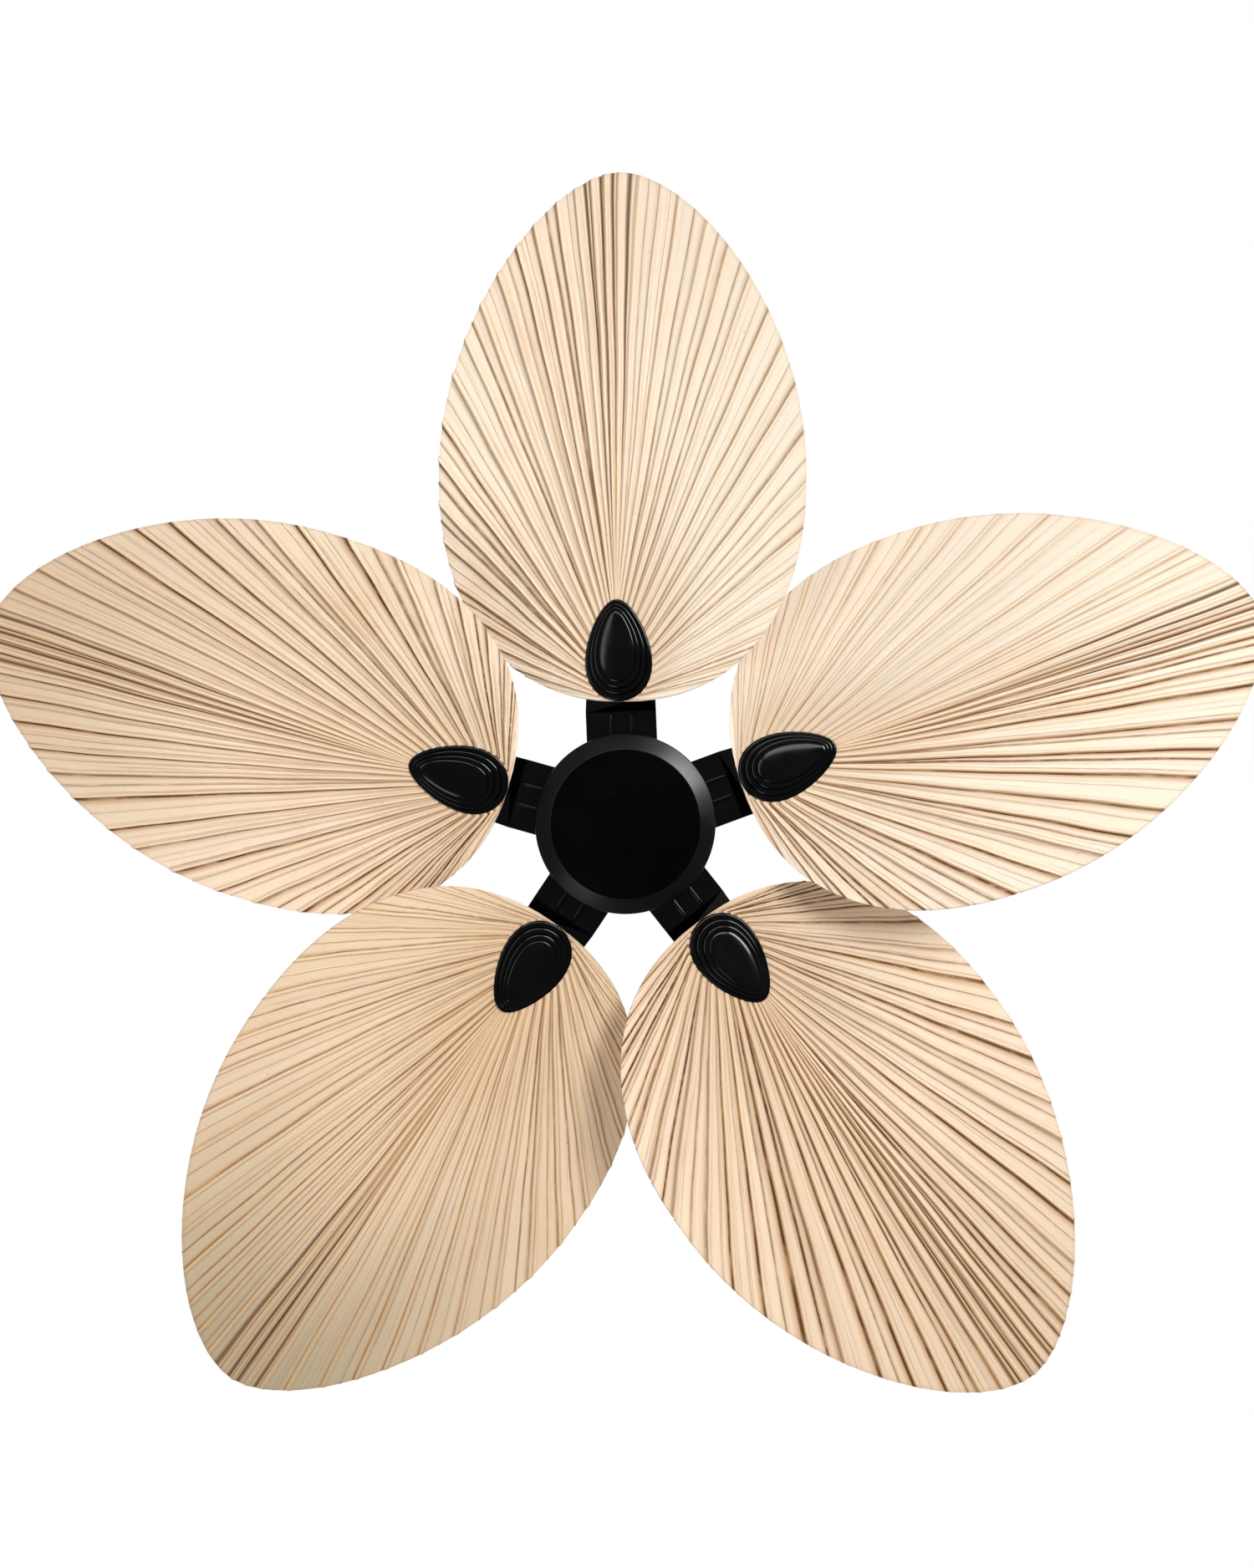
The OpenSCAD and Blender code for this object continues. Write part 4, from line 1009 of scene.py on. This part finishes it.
@dataclass(frozen=True)
class HubCap:
    """Turned black cap under the motor: a rolled rim, a skirt, a bevel and a flat face."""

    radius: float = 0.0917
    face_radius: float = 0.0756
    rim: float = -0.284
    bevel: float = -0.304
    face: float = -0.318
    wall: float = 0.002
    roundings: tuple[float, ...] = (0.0034, 0.0030, 0.0007, 0.0007, 0.0014, 0.0014)
    rounding_steps: int = 6
    turn_steps: int = 128
    screws: int = 3
    screw_z: float = -0.29875
    screw_hole: float = 0.0043
    edge_rise: float = 0.0004

    def arc(self, corner: Vector, before: Vector, after: Vector, radius: float) -> list[Vector]:
        """Round one corner of a profile.

        Args:
            corner: the corner.
            before: the point of the profile before it.
            after: the point after it.
            radius: the rounding's radius.

        Returns:
            The points of the rounding, in order.
        """
        a, b = (before - corner).normalized(), (after - corner).normalized()
        half = a.angle(b) / 2
        reach = radius / math.tan(half)
        centre = corner + (a + b).normalized() * radius / math.sin(half)
        start, end = corner + a * reach - centre, corner + b * reach - centre
        turn = start.angle(end)
        found = []
        for i in range(self.rounding_steps + 1):
            t = i / self.rounding_steps
            mixed = start * math.sin((1 - t) * turn) + end * math.sin(t * turn)
            found.append(centre + mixed / math.sin(turn))
        return found

    def profile(self) -> list[Vector]:
        """Draw half of the cap's section.

        Returns:
            The section's points, from the middle of the face out, round the rim and back in.
        """
        w = self.wall
        slope = math.atan2(self.bevel - self.face, self.radius - self.face_radius)
        inner_face = self.face_radius - w * math.tan(slope / 2)
        inner_bevel = self.bevel + w * math.tan((math.pi / 2 - slope) / 2)
        inner = self.radius - w
        corners = [Vector((x, 0, z)) for x, z in (
            (0, self.face), (self.face_radius, self.face), (self.radius, self.bevel),
            (self.radius, self.rim), (inner, self.rim), (inner, inner_bevel),
            (inner_face, self.face + w), (0, self.face + w))]
        found = [corners[0]]
        for before, corner, after, radius in zip(corners, corners[1:], corners[2:], self.roundings):
            found += self.arc(corner, before, after, radius)
        return found + [corners[-1]]

    def build(self) -> Mesh:
        """Spin the section round the fan's axis.

        Returns:
            The closed cap, without its screw holes.
        """
        mesh = bmesh.new()
        verts = [mesh.verts.new(p) for p in self.profile()]
        edges = [mesh.edges.new(pair) for pair in zip(verts, verts[1:])]
        bmesh.ops.spin(mesh, geom=[*verts, *edges], cent=(0, 0, 0), axis=(0, 0, 1),
                       angle=2 * math.pi, steps=self.turn_steps, use_merge=True)
        bmesh.ops.remove_doubles(mesh, verts=mesh.verts[:], dist=1e-6)
        bmesh.ops.recalc_face_normals(mesh, faces=mesh.faces[:])
        return mesh

    def drill(self) -> Mesh:
        """Make the round cutters of the screw holes.

        Returns:
            The cutters.
        """
        mesh = bmesh.new()
        for i in range(self.screws):
            turn = Matrix.Rotation(math.radians(360 / self.screws * i), 4, "Z")
            place = turn @ Matrix.Translation((self.radius, 0, self.screw_z))
            bmesh.ops.create_cone(mesh, cap_ends=True, segments=32, radius1=self.screw_hole / 2,
                                  radius2=self.screw_hole / 2, depth=0.02,
                                  matrix=place @ Matrix.Rotation(math.radians(90), 4, "Y"))
        return mesh

    def finish(self, material: Material, edge: Material) -> None:
        """Drill, dress and place the cap.

        Args:
            material: the finish of its flat face.
            edge: the finish of its bevel and skirt.
        """
        piece = Piece("hub_cover", self.build(), material)
        tool = Piece("hub_drill", self.drill(), material)
        piece.modify("BOOLEAN", operation="DIFFERENCE", object=tool.object, solver="EXACT").shade(30)
        bpy.data.objects.remove(tool.object)
        piece.object.data.materials.append(edge)
        for part in piece.object.data.polygons:
            if part.center.z > self.face + self.edge_rise:
                part.material_index = 1
        piece.settle(Body.UNIT, Slot.BLACK, "hub_cap")


class Finishes:
    """All finishes of the fan, made once."""

    FINE = 0.0000005
    # per leaf: upper and lower half, tip, line colour, strength of lines and painted shade per half, line
    # width, foot away from the key lamp where the painted shade line runs, seed
    LEAVES = (
        PalmFinish("palm_cream_a", (241, 228, 208), (243, 229, 208), (232, 213, 189),
                   (124, 84, 44), (0.95, 0.6), 0.06, 0.8, 1.0),
        PalmFinish("palm_cream_b", (229, 213, 192), (213, 199, 180), (228, 212, 191),
                   (100, 62, 28), (0.4, 1.0), 0.075, 0.2, 2.0),
        PalmFinish("palm_tan_a", (221, 197, 169), (228, 207, 183), (209, 185, 157),
                   (92, 56, 24), (1.0, 1.0), 0.08, 0.2, 3.0),
        PalmFinish("palm_tan_b", (220, 193, 161), (220, 194, 162), (164, 148, 120),
                   (116, 80, 44), (0.75, 0.75), 0.045, 0.2, 4.0),
        PalmFinish("palm_tan_c", (238, 217, 190), (240, 217, 191), (208, 183, 155),
                   (90, 56, 26), (1.0, 1.0), 0.075, 0.8, 5.0),
    )
    PARTS = {
        "iron": CoatFinish("iron_black_coat", (0, 0, 1), 0.045, 0.24, 900.0, FINE),
        "hub": CoatFinish("hub_face_coat", (0, 0, 1), 0.01, 0.42),
        "hub_edge": CoatFinish("hub_edge_coat", (0, 0, 1), 0.058, 0.34, 900.0, 0.00001),
        "cap": CoatFinish("cap_black_moulding", (0, 0, 1), 0.055, 0.13, 500.0, FINE),
        "coat": CoatFinish("housing_black_coat", (12, 13, 14), 0.08, 0.5),
        "zinc": MetalFinish("zinc_plate", (196, 196, 190), 0.34, (1, 1, 1), 300.0, 0.00003),
        "polished": MetalFinish("polished_steel", (214, 214, 214), 0.16, (1, 1, 8), 260.0, 0.00001),
        "cast": MetalFinish("cast_alloy_grain", (182, 184, 186), 0.5, (1, 1, 1), 700.0, 0.00012),
        "stack": MetalFinish("stacked_sheet_steel", (128, 131, 136), 0.42, (0.02, 0.02, 1), 2000.0,
                             0.00008),
        "copper": MetalFinish("enamelled_copper", (196, 112, 58), 0.3, (1, 1, 6), 500.0, 0.00008,
                              (120, 60, 30)),
        "nylon": PlasticFinish("filled_nylon", (48, 48, 51), 0.5),
        "wire": PlasticFinish("wire_insulation", (222, 222, 216), 0.42, 900.0),
        "case": PlasticFinish("moulded_case", (36, 40, 44), 0.28),
        "green": PlasticFinish("green_screw_coat", (40, 130, 66), 0.35),
    }
    KEPT_NODES = {
        "zinc": "hanger_bracket ball_pin ball_set_screw yoke_pin yoke_set_screws housing_screws "
                "shaft_spacer cap_plate shaft_nut shell_screws iron_screws blade_screws",
        "polished": "motor_shaft bearing_inner_races bearing_outer_races bearing_balls",
        "cast": "upper_shell lower_shell",
        "stack": "stator_core rotor_core",
        "copper": "stator_windings",
        "nylon": "hanger_ball",
        "wire": "lead_wires",
        "case": "capacitor",
        "green": "ground_screw",
    }

    def __init__(self) -> None:
        """Make every material."""
        self.leaves = [finish.build() for finish in self.LEAVES]
        self.parts = {name: finish.build() for name, finish in self.PARTS.items()}

    def dress_frame(self) -> None:
        """Put a finish on every node of the frame, with the black coat where none is listed."""
        listed = {node: name for name, nodes in self.KEPT_NODES.items() for node in nodes.split()}
        for name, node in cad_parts.items():
            material = self.parts[listed.get(name, "coat")]
            node.data.materials.clear()
            node.data.materials.append(material)
            for face in node.data.polygons:
                face.material_index = 0
            log.info("%s: %s", name, material.name)


@dataclass(frozen=True)
class Lamp:
    """A soft rectangular lamp that the camera doesn't see and that lights only by its reach."""

    name: str
    place: Triple
    wide: float
    high: float
    power: float
    reach: Reach
    aim: Triple = (0, 0, -0.3)

    def build(self) -> None:
        """Hang the lamp and turn it to its aim."""
        data = bpy.data.lights.new(self.name, "AREA")
        data.shape = "RECTANGLE"
        data.size = self.wide
        data.size_y = self.high
        data.energy = self.power
        lamp = bpy.data.objects.new(self.name, data)
        lamp.location = self.place
        toward = Vector(self.aim) - Vector(self.place)
        lamp.rotation_euler = toward.to_track_quat("-Z", "Y").to_euler()
        lamp.visible_camera = False
        lamp.visible_diffuse = self.reach is not Reach.GLOSS
        lamp.visible_glossy = self.reach is not Reach.DULL
        bpy.context.scene.collection.objects.link(lamp)


class Studio:
    """Plain soft light, a pale floor far below, a white background and the camera."""

    CAMERA = (-0.0017, 0.0405, -3.29)
    LENS = 67.55
    SENSOR = 36.0
    FAR = 60.0
    FLOOR = -3.4
    FLOOR_SIZE = 7.0
    FLOOR_GREY = (0.7, 0.85)
    FLOOR_GLOW = (0.0, 0.45)
    WORLD = (0.45, 1.0)
    LAMPS = (
        Lamp("key", (-1.58, 1.03, -3.0), 1.1, 1.1, 76.0, Reach.DULL),
        Lamp("fill", (1.9, -1.1, -2.4), 1.0, 1.0, 26.0, Reach.DULL),
        Lamp("low_edge", (-2.2, 1.3, -0.75), 0.6, 0.4, 18.0, Reach.DULL),
        Lamp("above", (0, 0, 2.5), 4.0, 4.0, 40.0, Reach.BOTH, (0, 0, 0)),
        Lamp("rim_glint", (-1.9, 1.7, -1.2), 1.5, 1.5, 660.0, Reach.GLOSS),
        Lamp("far_glint", (1.4, -2.1, -1.2), 1.0, 1.0, 60.0, Reach.GLOSS),
        Lamp("side_glint", (2.07, 0.75, -2.1), 2.4, 0.9, 100.0, Reach.GLOSS),
        Lamp("top_glint", (0.08, 2.2, -2.1), 2.4, 0.9, 200.0, Reach.GLOSS),
    )

    def build(self) -> None:
        """Set up the whole studio."""
        bpy.context.scene.view_settings.view_transform = "Standard"
        for lamp in self.LAMPS:
            lamp.build()
        self.camera()
        self.world()
        self.floor()

    def camera(self) -> None:
        """Put the camera under the fan, looking straight up."""
        data = bpy.data.cameras.new("camera")
        data.lens = self.LENS
        data.sensor_width = self.SENSOR
        data.clip_end = self.FAR
        camera = bpy.data.objects.new("camera", data)
        camera.location = self.CAMERA
        camera.rotation_euler = Euler((0, math.pi, 0))
        bpy.context.scene.collection.objects.link(camera)
        bpy.context.scene.camera = camera

    def world(self) -> None:
        """Make a world that is white behind the fan and gives soft light."""
        world = bpy.data.worlds.new("soft_white")
        bpy.context.scene.world = world
        g = Graph(world, "OutputWorld")
        back = g.add("Background", {"Color": (1, 1, 1, 1), "Strength": g.by_ray(*self.WORLD)})
        g.feed(g.output, {0: back.outputs[0]})

    def floor(self) -> None:
        """Lay a wide pale floor that shows near white and keeps the fan's shadow."""
        mesh = bmesh.new()
        bmesh.ops.create_grid(mesh, x_segments=2, y_segments=2, size=self.FLOOR_SIZE,
                              matrix=Matrix.Translation((0, 0, self.FLOOR)))
        material = bpy.data.materials.new("pale_floor")
        g = Graph(material, "OutputMaterial")
        dull = g.add("BsdfDiffuse", {"Color": g.by_ray(*self.FLOOR_GREY)})
        glow = g.add("Emission", {"Strength": g.by_ray(*self.FLOOR_GLOW)})
        both = g.add("AddShader", {0: dull.outputs[0], 1: glow.outputs[0]})
        g.feed(g.output, {0: both.outputs[0]})
        piece = Piece("floor", mesh, material)


class PalmFan:
    """The whole fan: five blades, the hub cap and the hanging parts."""

    LEAVES = (
        Leaf(0, 0.964, -3.6, (1.4, 0.5), (0.0036, 0.0028), 411),
        Leaf(1, 0.995, -3.3, (0.3, 1.1), (0.0026, 0.0026), 412),
        Leaf(2, 1.026, 0.0, (0.85, 1.1), (0.0023, 0.0028), 413),
        Leaf(3, 1.016, -0.3, (0.75, 0.65), (0.003, 0.0028), 414),
        Leaf(4, 0.99, -2.5, (1.05, 1.2), (0.0027, 0.003), 415),
    )
    SLOTS = (Slot.PALE, Slot.PALE, Slot.TAN, Slot.TAN, Slot.TAN)

    def build(self) -> None:
        """Build every piece and dress every node."""
        finishes = Finishes()
        finishes.dress_frame()
        for leaf, material, slot in zip(self.LEAVES, finishes.leaves, self.SLOTS):
            leaf.finish(material, slot)
            BladeCap(leaf.k).finish(finishes.parts["cap"])
            BladeIron(leaf.k).finish(finishes.parts["iron"])
        HubCap().finish(finishes.parts["hub"], finishes.parts["hub_edge"])


def main() -> None:
    """Build the fan and its studio."""
    PalmFan().build()
    Studio().build()


if __name__ == "__main__":
    main()
